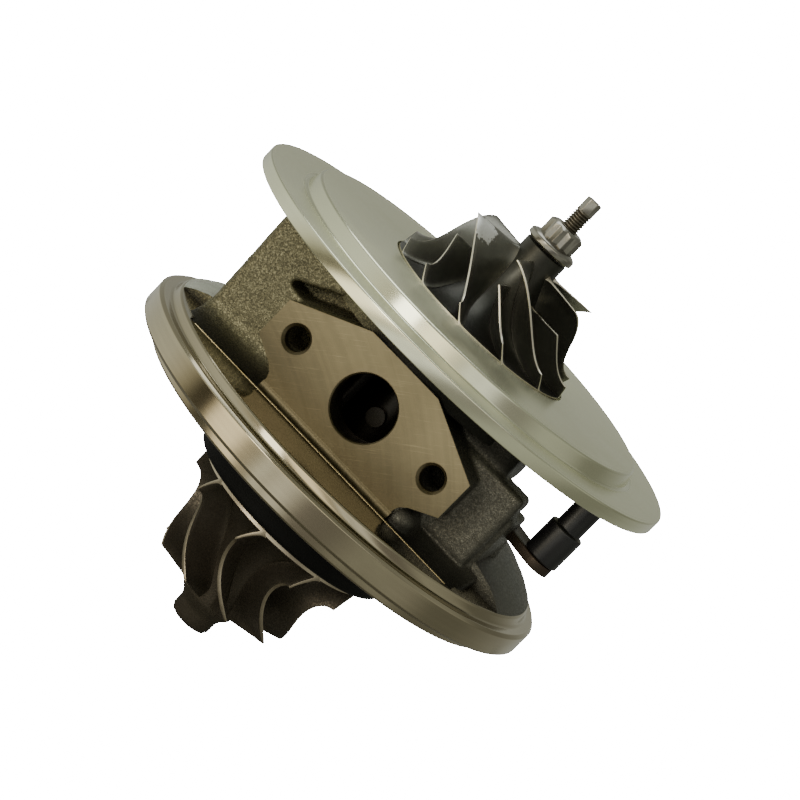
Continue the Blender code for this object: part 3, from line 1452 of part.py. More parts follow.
def make_crank(crank_axis):
    shaft = turned(
        "crank_shaft",
        [
            (0.0, ARM_END_Z),
            (CRANK_RADIUS - 0.3 * MM, ARM_END_Z),
            (CRANK_RADIUS, ARM_END_Z - 0.3 * MM),
            (CRANK_RADIUS, INNER_ARM_TOP_Z - INNER_ARM_THICKNESS + 0.3 * MM),
            (CRANK_RADIUS - 0.3 * MM, INNER_ARM_TOP_Z - INNER_ARM_THICKNESS),
            (0.0, INNER_ARM_TOP_Z - INNER_ARM_THICKNESS),
        ],
        STEPS_SMALL,
        STEEL,
    )
    shaft.parent = crank_axis
    hole_radius = CRANK_RADIUS + SEAT_GAP

    arm = prism(
        "lever_arm",
        link_outline(ARM_HUB_RADIUS, ARM_EYE_RADIUS, ARM_LENGTH),
        ARM_START_Z,
        ARM_END_Z,
        RUSTY_STEEL,
    )
    arm.rotation_euler = (0.0, 0.0, ARM_ANGLE)
    arm.parent = crank_axis
    arm_bore = disc_tool(
        "arm_bore_tool", hole_radius, ARM_START_Z - OVERSHOOT, ARM_END_Z + OVERSHOOT, STEPS_SMALL
    )
    arm_bore.parent = crank_axis
    eye_bore = disc_tool(
        "arm_eye_tool",
        LEVER_PIN_RADIUS + SEAT_GAP,
        ARM_START_Z - OVERSHOOT,
        ARM_END_Z + OVERSHOOT,
        STEPS_SMALL,
    )
    eye_bore.location = polar(ARM_LENGTH, ARM_ANGLE)
    eye_bore.parent = crank_axis
    cut(arm, arm_bore, eye_bore)

    cap_start = ARM_END_Z + SEAT_GAP
    cap_bore_end = CAP_TOP_Z - CAP_END_WALL
    pin_top = cap_bore_end - SEAT_GAP
    pin = turned(
        "lever_pin",
        [
            (0.0, pin_top),
            (LEVER_PIN_RADIUS - 0.5 * MM, pin_top),
            (LEVER_PIN_RADIUS, pin_top - 0.5 * MM),
            (LEVER_PIN_RADIUS, ARM_START_Z),
            (0.0, ARM_START_Z),
        ],
        STEPS_SMALL,
        STEEL,
    )
    pin.location = polar(ARM_LENGTH, ARM_ANGLE)
    pin.parent = crank_axis

    cap_step = cap_start + CAP_HEIGHT
    cap_bore = LEVER_PIN_RADIUS + SEAT_GAP
    cap = turned(
        "lever_pin_cap",
        [
            (0.0, CAP_TOP_Z),
            (CAP_NECK_RADIUS - 0.6 * MM, CAP_TOP_Z),
            (CAP_NECK_RADIUS, CAP_TOP_Z - 0.6 * MM),
            (CAP_NECK_RADIUS, cap_step),
            (CAP_RADIUS - 0.5 * MM, cap_step),
            (CAP_RADIUS, cap_step - 0.5 * MM),
            (CAP_RADIUS, cap_start),
            (cap_bore, cap_start),
            (cap_bore, cap_bore_end),
            (0.0, cap_bore_end),
        ],
        STEPS_SMALL,
        BLACK_PLASTIC,
    )
    cap.location = polar(ARM_LENGTH, ARM_ANGLE)
    cap.parent = crank_axis

    inner_bottom = INNER_ARM_TOP_Z - INNER_ARM_THICKNESS
    inner = prism(
        "inner_crank_arm",
        link_outline(INNER_ARM_HUB_RADIUS, INNER_ARM_EYE_RADIUS, INNER_ARM_LENGTH),
        inner_bottom,
        INNER_ARM_TOP_Z,
        STEEL,
    )
    inner.rotation_euler = (0.0, 0.0, INNER_ARM_ANGLE)
    inner.parent = crank_axis
    inner_bore = disc_tool(
        "inner_arm_bore_tool",
        hole_radius,
        inner_bottom - OVERSHOOT,
        INNER_ARM_TOP_Z + OVERSHOOT,
        STEPS_SMALL,
    )
    inner_bore.parent = crank_axis
    drive_pin = disc_tool(
        "inner_pin_tool",
        INNER_PIN_RADIUS,
        inner_bottom - INNER_PIN_LENGTH,
        inner_bottom + OVERSHOOT,
        STEPS_SMALL,
    )
    drive_pin.location = polar(INNER_ARM_LENGTH, INNER_ARM_ANGLE)
    drive_pin.parent = crank_axis
    fuse(inner, drive_pin)
    cut(inner, inner_bore)


def make_lever_bush():
    inner = CRANK_RADIUS + SEAT_GAP
    collar_top = BUSH_COLLAR_START_Z + BUSH_COLLAR_THICKNESS
    bush = turned(
        "lever_bush",
        [
            (inner, collar_top),
            (BUSH_COLLAR_RADIUS - 0.4 * MM, collar_top),
            (BUSH_COLLAR_RADIUS, collar_top - 0.4 * MM),
            (BUSH_COLLAR_RADIUS, BUSH_COLLAR_START_Z),
            (BUSH_RADIUS, BUSH_COLLAR_START_Z),
            (BUSH_RADIUS, SPIGOT_Z),
            (inner, SPIGOT_Z),
        ],
        STEPS_SMALL,
        STEEL,
        closed=True,
    )
    bush.location = (CRANK_X, CRANK_Y, 0.0)
    return bush


def make_axis_empty(name, location):
    empty = bpy.data.objects.new(name, None)
    empty.location = location
    PARTS.objects.link(empty)
    return empty


def main():
    make_housing()
    make_back_plate()
    make_plate_screws()
    make_o_ring()
    make_journal_bearing()
    make_locating_pin()
    make_seal_ring("turbine_seal_ring", SEAL_BORE_RADIUS, TURBINE_RING_Z)
    make_seal_ring("compressor_seal_ring", PLATE_BORE_RADIUS, COMPRESSOR_RING_Z)
    make_thrust_bearing()
    make_oil_deflector()
    make_heat_shield()
    make_flange_dowel()
    make_lever_bush()

    rotor_axis = make_axis_empty("rotor_axis", (0.0, 0.0, 0.0))
    rotor = [
        make_shaft(),
        make_thrust_collar(),
        make_flinger(),
        make_compressor_wheel(),
        make_turbine_wheel(),
        make_shaft_nut(),
    ]
    for piece in rotor:
        piece.parent = rotor_axis

    crank_axis = make_axis_empty("crank_axis", (CRANK_X, CRANK_Y, 0.0))
    make_crank(crank_axis)
    for piece in PARTS.objects:
        if piece.type == "MESH":
            shade_round(piece)


main()
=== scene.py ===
"""Fine surfaces, finishes, stage and camera for a turbocharger centre cartridge."""

import math

import bmesh
import bpy
from mathutils import Matrix, Vector, noise


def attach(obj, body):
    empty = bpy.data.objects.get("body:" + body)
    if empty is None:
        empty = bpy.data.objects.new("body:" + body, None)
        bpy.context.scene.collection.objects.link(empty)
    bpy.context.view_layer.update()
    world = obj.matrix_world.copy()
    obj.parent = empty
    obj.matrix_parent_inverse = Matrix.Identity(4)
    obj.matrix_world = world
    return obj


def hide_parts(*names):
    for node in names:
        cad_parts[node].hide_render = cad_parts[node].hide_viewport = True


bl_info = {
    "name": "Turbo cartridge finish",
    "version": (1, 0, 0),
    "blender": (4, 5, 0),
    "location": "View3D > Sidebar > Cartridge",
    "description": "Builds the fine surfaces and finishes of a turbo cartridge",
    "category": "Object",
}

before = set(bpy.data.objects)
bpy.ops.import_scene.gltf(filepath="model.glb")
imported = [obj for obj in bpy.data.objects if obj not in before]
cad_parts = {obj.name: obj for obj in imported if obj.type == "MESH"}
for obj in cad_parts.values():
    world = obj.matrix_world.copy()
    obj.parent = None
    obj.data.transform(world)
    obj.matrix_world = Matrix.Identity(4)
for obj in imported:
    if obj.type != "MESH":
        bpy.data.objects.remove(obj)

# Shapes below are given in millimetres, and the shape functions turn them into metres
MM = 0.001
QUARTER = math.pi / 2
ROOT_BODY = "cartridge"
ROTOR_BODY = "rotor"
LEVER_BODY = "lever"


# Sizes and colours that a user may change
def length_of(name, description, default, minimum=0.0):
    return bpy.props.FloatProperty(
        name=name, description=description, default=default, min=minimum, unit="LENGTH"
    )


def colour_of(name, description, default):
    return bpy.props.FloatVectorProperty(
        name=name, description=description, subtype="COLOR", size=3, default=default
    )


def count_of(name, description, default, minimum):
    return bpy.props.IntProperty(name=name, description=description, default=default, min=minimum)


def power_of(name, description, default):
    return bpy.props.FloatProperty(name=name, description=description, default=default, unit="POWER")


class HousingSettings(bpy.types.PropertyGroup):
    voxel: length_of(
        "Casting detail", "Size of the cells that the cast body is formed from", 0.55 * MM, 0.3 * MM
    )
    roughness_depth: length_of("Casting waviness", "Height of the sand-cast waves", 0.10 * MM)
    cast_colour: colour_of("Cast colour", "Mean colour of the as-cast iron skin", (0.125, 0.117, 0.071))
    cut_colour: colour_of(
        "Machined colour", "Colour of the milled and turned iron", (0.40, 0.355, 0.245)
    )


class PlateSettings(bpy.types.PropertyGroup):
    edge_break: length_of("Edge break", "Radius on the turned edges", 0.25 * MM)
    colour: colour_of("Aluminium colour", "Colour of the turned aluminium", (0.72, 0.73, 0.53))


class CompressorSettings(bpy.types.PropertyGroup):
    pairs: count_of("Blade pairs", "Full blades, each with one splitter", 6, 3)
    tip_thickness: length_of("Tip thickness", "Blade thickness at its outer edge", 0.55 * MM)
    root_thickness: length_of("Root thickness", "Blade thickness above the root fillet", 1.15 * MM)
    colour: colour_of("Blade colour", "Colour of the blades and hub", (0.155, 0.155, 0.130))


class TurbineSettings(bpy.types.PropertyGroup):
    blades: count_of("Blades", "Number of turbine blades", 9, 5)
    tip_thickness: length_of("Tip thickness", "Blade thickness at its outer edge", 1.05 * MM)
    root_thickness: length_of("Root thickness", "Blade thickness above the root fillet", 2.1 * MM)
    colour: colour_of("Alloy colour", "Colour of the cast heat-resistant alloy", (0.125, 0.110, 0.084))


class StageSettings(bpy.types.PropertyGroup):
    floor_size: length_of("Floor size", "Width of the pale floor", 0.40)
    key_power: power_of("Key light", "Power of the large soft light", 4.0)
    fill_power: power_of("Fill light", "Power of the second soft light", 5.0)


# Shapes
def polar(radius, angle, z=0.0):
    return Vector((radius * MM * math.cos(angle), radius * MM * math.sin(angle), z * MM))


def at(x, y, z=0.0):
    return Matrix.Translation((x * MM, y * MM, z * MM))


def along_y(x, y, z, flip=False):
    """Place for a shape made along +Z, laid so that its +Z end points to +Y or -Y."""
    return at(x, y, z) @ Matrix.Rotation(QUARTER if flip else -QUARTER, 4, "X")


def smooth_step(value):
    value = min(max(value, 0.0), 1.0)
    return value * value * (3.0 - 2.0 * value)


def arc(centre, radius_r, radius_z, start, end, count):
    """Points of an elliptic arc in the (radius, z) plane."""
    angles = [start + (end - start) * i / count for i in range(count + 1)]
    return [(centre[0] + radius_r * math.cos(a), centre[1] + radius_z * math.sin(a)) for a in angles]


def eased_corners(profile, radius, closed=True, count=3):
    """Round each corner of a profile that turns by more than about 20 degrees."""
    points = [Vector(point) for point in profile]
    eased = []
    last = len(points) - 1
    for i, point in enumerate(points):
        if not closed and i in (0, last):
            eased.append(point)
            continue
        before = points[i - 1] - point
        after = points[(i + 1) % len(points)] - point
        if before.length < 1e-9 or after.length < 1e-9:
            continue
        if before.angle(after) > math.radians(160.0):
            eased.append(point)
            continue
        reach = min(radius, before.length * 0.45, after.length * 0.45)
        start = point + before.normalized() * reach
        end = point + after.normalized() * reach
        for j in range(count + 1):
            t = j / count
            eased.append(start * (1 - t) ** 2 + point * 2 * t * (1 - t) + end * t**2)
    return [(p.x, p.y) for p in eased]


def object_of(name, bm, materials):
    mesh = bpy.data.meshes.new(name)
    bm.to_mesh(mesh)
    bm.free()
    made = bpy.data.objects.new(name, mesh)
    bpy.context.scene.collection.objects.link(made)
    for material in materials:
        mesh.materials.append(material)
    return made


def spun(name, profile, steps, finishes=(), closed=True, place=None, ease=0.0):
    """Turn a profile of (radius, z) pairs about Z, with its corners eased by a radius in metres."""
    points = [(r * MM, z * MM) for r, z in profile]
    if ease > 0.0:
        points = eased_corners(points, ease, closed)
    bm = bmesh.new()
    verts = [bm.verts.new((r, 0.0, z)) for r, z in points]
    edges = [bm.edges.new(pair) for pair in zip(verts, verts[1:])]
    if closed:
        edges.append(bm.edges.new((verts[-1], verts[0])))
    bmesh.ops.spin(
        bm,
        geom=verts + edges,
        cent=(0.0, 0.0, 0.0),
        axis=(0.0, 0.0, 1.0),
        dvec=(0.0, 0.0, 0.0),
        angle=math.tau,
        steps=steps,
        use_merge=True,
        use_duplicate=False,
    )
    bmesh.ops.remove_doubles(bm, verts=bm.verts, dist=0.002 * MM)
    bmesh.ops.recalc_face_normals(bm, faces=bm.faces)
    if place is not None:
        bmesh.ops.transform(bm, matrix=place, verts=bm.verts)
    return object_of(name, bm, [FINISHES[finish] for finish in finishes])


def solid_turned(name, profile, steps, place=None):
    """Turned tool or blank whose profile starts and ends on its axis."""
    return spun(name, profile, steps, closed=False, place=place)


def rod(name, radius, top, bottom, steps, place=None):
    profile = [(0.0, top), (radius, top), (radius, bottom), (0.0, bottom)]
    return solid_turned(name, profile, steps, place)


def slab(name, outline, low, high, finishes=(), place=None):
    """A flat outline of (x, y) pairs, extruded from low to high."""
    bm = bmesh.new()
    verts = [bm.verts.new((x * MM, y * MM, low * MM)) for x, y in outline]
    face = bm.faces.new(verts)
    raised = bmesh.ops.extrude_face_region(bm, geom=[face])
    moved = [item for item in raised["geom"] if isinstance(item, bmesh.types.BMVert)]
    bmesh.ops.translate(bm, vec=(0.0, 0.0, high * MM - low * MM), verts=moved)
    bmesh.ops.recalc_face_normals(bm, faces=bm.faces)
    if place is not None:
        bmesh.ops.transform(bm, matrix=place, verts=bm.verts)
        bmesh.ops.recalc_face_normals(bm, faces=bm.faces)
    return object_of(name, bm, [FINISHES[finish] for finish in finishes])


def slab_y(name, outline, front, back, finishes=()):
    """Slab whose outline lies in (x, z), from y = front to y = back."""
    return slab(name, outline, -back, -front, finishes, Matrix.Rotation(QUARTER, 4, "X"))


def bar_x(name, section, low, high, finishes=()):
    """Bar along X whose section lies in (y, z)."""
    place = Matrix.Rotation(QUARTER, 4, "Z") @ Matrix.Rotation(QUARTER, 4, "X")
    return slab(name, section, low, high, finishes, place)


def block(name, low, high, width=0.0, segments=3):
    """Box between two corners, with rounded edges."""
    low = Vector([value * MM for value in low])
    high = Vector([value * MM for value in high])
    bm = bmesh.new()
    bmesh.ops.create_cube(bm, size=1.0)
    bmesh.ops.scale(bm, vec=high - low, verts=bm.verts)
    bmesh.ops.translate(bm, vec=(low + high) / 2, verts=bm.verts)
    if width > 0.0:
        bmesh.ops.bevel(
            bm,
            geom=bm.edges[:],
            offset=width * MM,
            segments=segments,
            profile=0.5,
            affect="EDGES",
            material=-1,
        )
    return object_of(name, bm, [])


def settle(piece):
    """Replace a piece's mesh by its evaluated mesh and drop the modifiers."""
    bpy.context.view_layer.update()
    graph = bpy.context.evaluated_depsgraph_get()
    mesh = bpy.data.meshes.new_from_object(piece.evaluated_get(graph))
    old = piece.data
    piece.modifiers.clear()
    piece.data = mesh
    bpy.data.meshes.remove(old)
    return piece


def discard(pieces):
    for piece in pieces:
        mesh = piece.data
        bpy.data.objects.remove(piece)
        bpy.data.meshes.remove(mesh)


def combine(piece, tools, operation):
    """Boolean with several closed tools, which are then removed."""
    for tool in tools:
        boolean = piece.modifiers.new(tool.name, "BOOLEAN")
        boolean.operation = operation
        boolean.object = tool
        boolean.solver = "EXACT"
    settle(piece)
    discard(tools)


def bevelled(piece, width, segments=3, angle=35.0):
    bevel = piece.modifiers.new("edge", "BEVEL")
    bevel.width = width * MM
    bevel.segments = segments
    bevel.limit_method = "ANGLE"
    bevel.angle_limit = math.radians(angle)
    return settle(piece)


def paint(piece, index, chosen):
    """Give a material to the faces whose centre, in metres, and normal are chosen."""
    for face in piece.data.polygons:
        if chosen(face.center, face.normal):
            face.material_index = index


def crisp(piece):
    """Keep flat faces evenly lit by weighting normals with face area."""
    weighted = piece.modifiers.new("normals", "WEIGHTED_NORMAL")
    weighted.keep_sharp = True
    weighted.weight = 100


def finish_piece(piece, body, nodes=(), angle=None):
    """Smooth a piece up to an angle and hang it on its body in place of CAD nodes."""
    if angle is not None:
        piece.data.shade_smooth()
        piece.data.set_sharp_from_angle(angle=math.radians(angle))
    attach(piece, body)
    if nodes:
        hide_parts(*nodes)


# Node groups and finishes; these are the colour sockets of a Mix node
MIX_FIRST, MIX_SECOND, MIX_RESULT = 6, 7, 2


def feed(tree, node, values):
    """Link inputs of a node, by name or number, to other nodes' outputs, or set them."""
    for label, value in values.items():
        if isinstance(value, bpy.types.NodeSocket):
            tree.links.new(value, node.inputs[label])
        else:
            node.inputs[label].default_value = value


def node_of(tree, kind, values=None, **modes):
    """New node with its modes and its inputs set."""
    made = tree.nodes.new(kind)
    for label, mode in modes.items():
        setattr(made, label, mode)
    feed(tree, made, values or {})
    return made


def shader_group(name, inputs, outputs):
    group = bpy.data.node_groups.new(name, "ShaderNodeTree")
    for label, kind, value in inputs:
        socket = group.interface.new_socket(name=label, in_out="INPUT", socket_type=kind)
        if value is not None:
            socket.default_value = value
    for label in outputs:
        group.interface.new_socket(name=label, in_out="OUTPUT", socket_type="NodeSocketFloat")
    return group, group.nodes.new("NodeGroupInput"), group.nodes.new("NodeGroupOutput")


def math_node(tree, operation, *values):
    inputs = dict(enumerate(values))
    return node_of(tree, "ShaderNodeMath", inputs, operation=operation).outputs[0]


def ranged(tree, value, low, high, to_low=0.0, to_high=1.0):
    """Smooth step from low to high."""
    inputs = {"Value": value, "From Min": low, "From Max": high, "To Min": to_low, "To Max": to_high}
    made = node_of(tree, "ShaderNodeMapRange", inputs, interpolation_type="SMOOTHSTEP")
    return made.outputs["Result"]


def noise_node(tree, vector, scale, detail=2.0, roughness=0.5):
    inputs = {"Vector": vector, "Scale": scale, "Detail": detail, "Roughness": roughness}
    return node_of(tree, "ShaderNodeTexNoise", inputs).outputs["Fac"]


def separated(tree, vector):
    return node_of(tree, "ShaderNodeSeparateXYZ", {0: vector}).outputs[:]


def scaled(tree, colour, factor):
    """Colour times a number or a mask."""
    inputs = {0: colour, "Scale": factor}
    return node_of(tree, "ShaderNodeVectorMath", inputs, operation="SCALE").outputs[0]


def mixed(tree, factor, first, second):
    """Blend of two colours, each a node's output or an RGB triple."""
    first, second = ((*v, 1.0) if isinstance(v, tuple) else v for v in (first, second))
    inputs = {0: factor, MIX_FIRST: first, MIX_SECOND: second}
    return node_of(tree, "ShaderNodeMix", inputs, data_type="RGBA").outputs[MIX_RESULT]


def distance_of(tree, first, second):
    squares = [math_node(tree, "MULTIPLY", value, value) for value in (first, second)]
    return math_node(tree, "SQRT", math_node(tree, "ADD", *squares))


def line_noise(tree, target, distance, lines, detail, coarseness):
    """Fine lines as a height and broader ones as bands, both across a distance."""
    for label, factor, octaves in (("Height", 1.0, detail), ("Bands", coarseness, 2.0)):
        density = math_node(tree, "MULTIPLY", lines, factor)
        across = math_node(tree, "MULTIPLY", distance, density)
        inputs = {"W": across, "Scale": 1.0, "Detail": octaves}
        line = node_of(tree, "ShaderNodeTexNoise", inputs, noise_dimensions="1D")
        feed(tree, target, {label: line.outputs["Fac"]})


VECTOR_INPUT = ("Vector", "NodeSocketVector", None)


def make_cast_skin_group():
    """Sand-cast grain: a height, and a mask of the grains that catch the light."""
    group, source, target = shader_group(
        "cast_skin", [VECTOR_INPUT, ("Grain", "NodeSocketFloat", 2200.0)], ["Height", "Glints"]
    )
    vector = source.outputs["Vector"]
    grain = source.outputs["Grain"]
    coarse = noise_node(group, vector, math_node(group, "MULTIPLY", grain, 0.42), 2.0, 0.6)
    fine = noise_node(group, vector, grain, 2.0, 0.6)
    inputs = {"Vector": vector, "Scale": math_node(group, "MULTIPLY", grain, 0.7)}
    cells = node_of(group, "ShaderNodeTexVoronoi", inputs, feature="SMOOTH_F1")
    pits = math_node(group, "MULTIPLY", cells.outputs["Distance"], 0.5)
    total = math_node(group, "ADD", math_node(group, "ADD", coarse, fine), pits)
    tops = math_node(group, "ADD", math_node(group, "MULTIPLY", coarse, 0.5), fine)
    height = math_node(group, "MULTIPLY", total, 0.5)
    feed(group, target, {"Height": height, "Glints": ranged(group, tops, 0.66, 0.94)})
    return group


def make_scratch_group():
    """Fine straight scratches along one direction, as a mask."""
    turn = ("Turn", "NodeSocketVector", (0.0, 0.0, 0.0))
    group, source, target = shader_group("scratches", [VECTOR_INPUT, turn], ["Mask"])
    inputs = {"Vector": source.outputs["Vector"], "Rotation": source.outputs["Turn"]}
    turned = node_of(group, "ShaderNodeVectorRotate", inputs, rotation_type="EULER_XYZ")
    inputs = {"Vector": turned.outputs[0], "Scale": (90.0, 4200.0, 4200.0)}
    drawn = node_of(group, "ShaderNodeMapping", inputs)
    lines = noise_node(group, drawn.outputs[0], 1.0, 2.0, 0.6)
    feed(group, target, {"Mask": ranged(group, lines, 0.60, 0.74)})
    return group


def make_turning_group():
    """Rings left by a lathe on faces and sides about Z."""
    rings = ("Rings", "NodeSocketFloat", 4000.0)
    group, source, target = shader_group("turning_marks", [VECTOR_INPUT, rings], ["Height", "Bands"])
    x, y, z = separated(group, source.outputs["Vector"])
    down = math_node(group, "MULTIPLY", z, 0.83)
    along = math_node(group, "ADD", distance_of(group, x, y), down)
    line_noise(group, target, along, source.outputs["Rings"], 3.0, 0.11)
    return group


def make_milling_group():
    """Arcs left by a face mill on a face across Y."""
    centre = ("Centre", "NodeSocketVector", (0.0, 0.0, 0.0))
    arcs = ("Arcs", "NodeSocketFloat", 2500.0)
    group, source, target = shader_group(
        "milling_marks", [VECTOR_INPUT, centre, arcs], ["Height", "Bands"]
    )
    inputs = {0: source.outputs["Vector"], 1: source.outputs["Centre"]}
    away = node_of(group, "ShaderNodeVectorMath", inputs, operation="SUBTRACT")
    x, _, z = separated(group, away.outputs[0])
    line_noise(group, target, distance_of(group, x, z), source.outputs["Arcs"], 2.0, 0.10)
    return group


def make_stain_group():
    """Broad uneven film, such as oil, heat tint or dust."""
    size = ("Size", "NodeSocketFloat", 60.0)
    group, source, target = shader_group("stains", [VECTOR_INPUT, size], ["Mask"])
    broad = noise_node(group, source.outputs["Vector"], source.outputs["Size"], 4.0, 0.6)
    feed(group, target, {"Mask": ranged(group, broad, 0.35, 0.68)})
    return group


GROUPS = {}


def make_groups():
    GROUPS["cast"] = make_cast_skin_group()
    GROUPS["turning"] = make_turning_group()
    GROUPS["milling"] = make_milling_group()
    GROUPS["stains"] = make_stain_group()
    GROUPS["scratches"] = make_scratch_group()


def use_group(tree, key, vector, **values):
    return node_of(tree, "ShaderNodeGroup", {"Vector": vector, **values}, node_tree=GROUPS[key])


def tinted(colour, gain):
    return tuple(min(1.0, channel * gain) for channel in colour)


def new_finish(name, metallic, roughness):
    material = bpy.data.materials.new(name)
    material.use_nodes = True
    tree = material.node_tree
    shader = tree.nodes["Principled BSDF"]
    feed(tree, shader, {"Metallic": metallic, "Roughness": roughness})
    return material, tree, shader, node_of(tree, "ShaderNodeTexCoord").outputs["Object"]


def add_bump(tree, shader, height, strength, distance):
    inputs = {"Strength": strength, "Distance": distance, "Height": height}
    feed(tree, shader, {"Normal": node_of(tree, "ShaderNodeBump", inputs).outputs["Normal"]})


# Painted shade for the corners of the casting: at its foot and under the back plate
CORNER_SHADE = (0.016, 0.0155, 0.012)


def cast_finish(name, colour, grain, metallic, depth, glint, side_shade=None, foot=False):
    """Cast skin, with painted shade that can darken it towards +X, towards its foot and in the corner
    under the back plate.
    """
    material, tree, shader, place = new_finish(name, metallic, 0.5)
    skin = use_group(tree, "cast", place, Grain=grain)
    stains = use_group(tree, "stains", place, Size=55.0)
    glints = skin.outputs["Glints"]
    base = mixed(tree, stains.outputs["Mask"], tinted(colour, 0.75), tinted(colour, 1.2))
    lit = mixed(tree, glints, base, tinted(colour, glint))
    x, _, z = separated(tree, place)
    # Painted shade: darker and greyer towards +X
    if side_shade is not None:
        side = ranged(tree, x, -12.0 * MM, 22.0 * MM)
        lit = mixed(tree, side, lit, mixed(tree, glints, side_shade, tinted(side_shade, glint * 0.7)))
    # Painted shade: darker towards the foot and in the corner under the back plate
    if foot:
        low = ranged(tree, z, 14.5 * MM, 9.5 * MM)
        under_plate_shade = ranged(tree, z, 35.0 * MM, 40.0 * MM)
        right = ranged(tree, x, -22.0 * MM, -8.0 * MM)
        corner = math_node(tree, "MULTIPLY", under_plate_shade, right)
        lit = mixed(tree, math_node(tree, "MAXIMUM", low, corner), lit, CORNER_SHADE)
    feed(tree, shader, {"Base Color": lit, "Roughness": ranged(tree, glints, 0.0, 1.0, 0.58, 0.36)})
    add_bump(tree, shader, skin.outputs["Height"], 0.9, depth * MM)
    return material


def turned_finish(name, colour, roughness, contrast=0.05):
    """Lathe-turned metal, which draws reflections out across its rings."""
    material, tree, shader, place = new_finish(name, 1.0, roughness)
    marks = use_group(tree, "turning", place, Rings=9000.0)
    film = use_group(tree, "stains", place, Size=38.0).outputs["Mask"]
    bands = ranged(tree, marks.outputs["Bands"], 0.3, 0.7)
    base = mixed(tree, bands, tinted(colour, 1.0 - contrast), tinted(colour, 1.0 + contrast * 0.5))
    inputs = {
        "Base Color": mixed(tree, film, base, tinted(colour, 0.94)),
        "Roughness": ranged(tree, film, 0.0, 1.0, roughness * 0.92, roughness * 1.1),
        "Anisotropic": 0.35,
        "Anisotropic Rotation": 0.25,
        "Tangent": node_of(tree, "ShaderNodeTangent", direction_type="RADIAL", axis="Z").outputs[0],
    }
    feed(tree, shader, inputs)
    add_bump(tree, shader, marks.outputs["Height"], 0.4, 0.003 * MM)
    return material


def milled_finish(name, colour):
    """Face-milled iron: fine arcs and scratches, with painted light that makes it lighter towards the
    top and darker towards the foot.
    """
    material, tree, shader, place = new_finish(name, 1.0, 0.36)
    marks = use_group(tree, "milling", place, Centre=(-0.055, 0.0, -0.060), Arcs=5200.0)
    stains = use_group(tree, "stains", place, Size=48.0)
    scratches = use_group(tree, "scratches", place, Turn=(0.0, math.radians(38.0), 0.0))
    # Painted light and shade: darker near the foot of the face, lighter towards its top
    height = ranged(tree, separated(tree, place)[2], 12.0 * MM, 38.0 * MM)
    tone = mixed(tree, height, tinted(colour, 0.32), tinted(colour, 0.76))
    bands = marks.outputs["Bands"]
    banded = scaled(tree, tone, ranged(tree, bands, 0.3, 0.7, 0.93, 1.06))
    worn = mixed(tree, stains.outputs["Mask"], banded, scaled(tree, banded, 0.84))
    final = mixed(tree, scratches.outputs["Mask"], worn, scaled(tree, worn, 1.35))
    rough = ranged(tree, bands, 0.2, 0.8, 0.38, 0.46)
    feed(tree, shader, {"Base Color": final, "Roughness": rough})
    add_bump(tree, shader, marks.outputs["Height"], 0.5, 0.010 * MM)
    return material


def plain_finish(name, colour, metallic, roughness, depth=0.004, mark=None):
    """Even finish with fine grain, a broad change of tone and, at a place, a pale ground mark."""
    material, tree, shader, place = new_finish(name, metallic, roughness)
    stains = use_group(tree, "stains", place, Size=90.0)
    fine = noise_node(tree, place, 2600.0)
    base = mixed(tree, stains.outputs["Mask"], tinted(colour, 0.88), tinted(colour, 1.12))
    if mark is not None:
        inputs = {0: place, 1: [value * MM for value in mark]}
        reach = node_of(tree, "ShaderNodeVectorMath", inputs, operation="DISTANCE")
        edge = noise_node(tree, place, 700.0, 3.0)
        ragged = math_node(tree, "MULTIPLY_ADD", edge, 6.0 * MM, reach.outputs["Value"])
        base = mixed(tree, ranged(tree, ragged, 7.6 * MM, 6.6 * MM), base, (0.70, 0.71, 0.67))
    rough = ranged(tree, fine, 0.3, 0.7, roughness * 0.9, min(1.0, roughness * 1.12))
    feed(tree, shader, {"Base Color": base, "Roughness": rough})
    add_bump(tree, shader, fine, 0.4, depth * MM)
    return material


# Name, colour, metallic and roughness of the finishes that nothing else sets
PLAIN_FINISHES = {
    "blade_edge": ("wheel_edges", (0.72, 0.68, 0.56), 1.0, 0.34),
    "alloy_edge": ("nickel_alloy_edges", (0.48, 0.42, 0.31), 1.0, 0.36),
    "steel": ("ground_steel", (0.29, 0.28, 0.24), 1.0, 0.22),
    "thread": ("thread_steel", (0.17, 0.155, 0.12), 1.0, 0.34),
    "sheet": ("dark_sheet", (0.006, 0.006, 0.006), 0.0, 0.60),
    "brown": ("browned_steel", (0.050, 0.036, 0.024), 0.6, 0.50, 0.05),
    "bronze": ("bearing_bronze", (0.30, 0.19, 0.08), 1.0, 0.32),
    # Painted shade: near-black for the inside of the drain and chamber, and the pin seen there
    "bore": ("bore_painted_shade", (0.018, 0.015, 0.010), 0.6, 0.30),
    # Painted highlight: bright strip along the edge of the milled flat
    "edge_highlight": ("painted_edge_highlight", (0.90, 0.78, 0.52), 1.0, 0.30),
    "plastic": ("black_plastic", (0.008, 0.008, 0.009), 0.0, 0.36),
    "rubber": ("black_rubber", (0.02, 0.02, 0.02), 0.0, 0.65),
}
FINISHES = {}


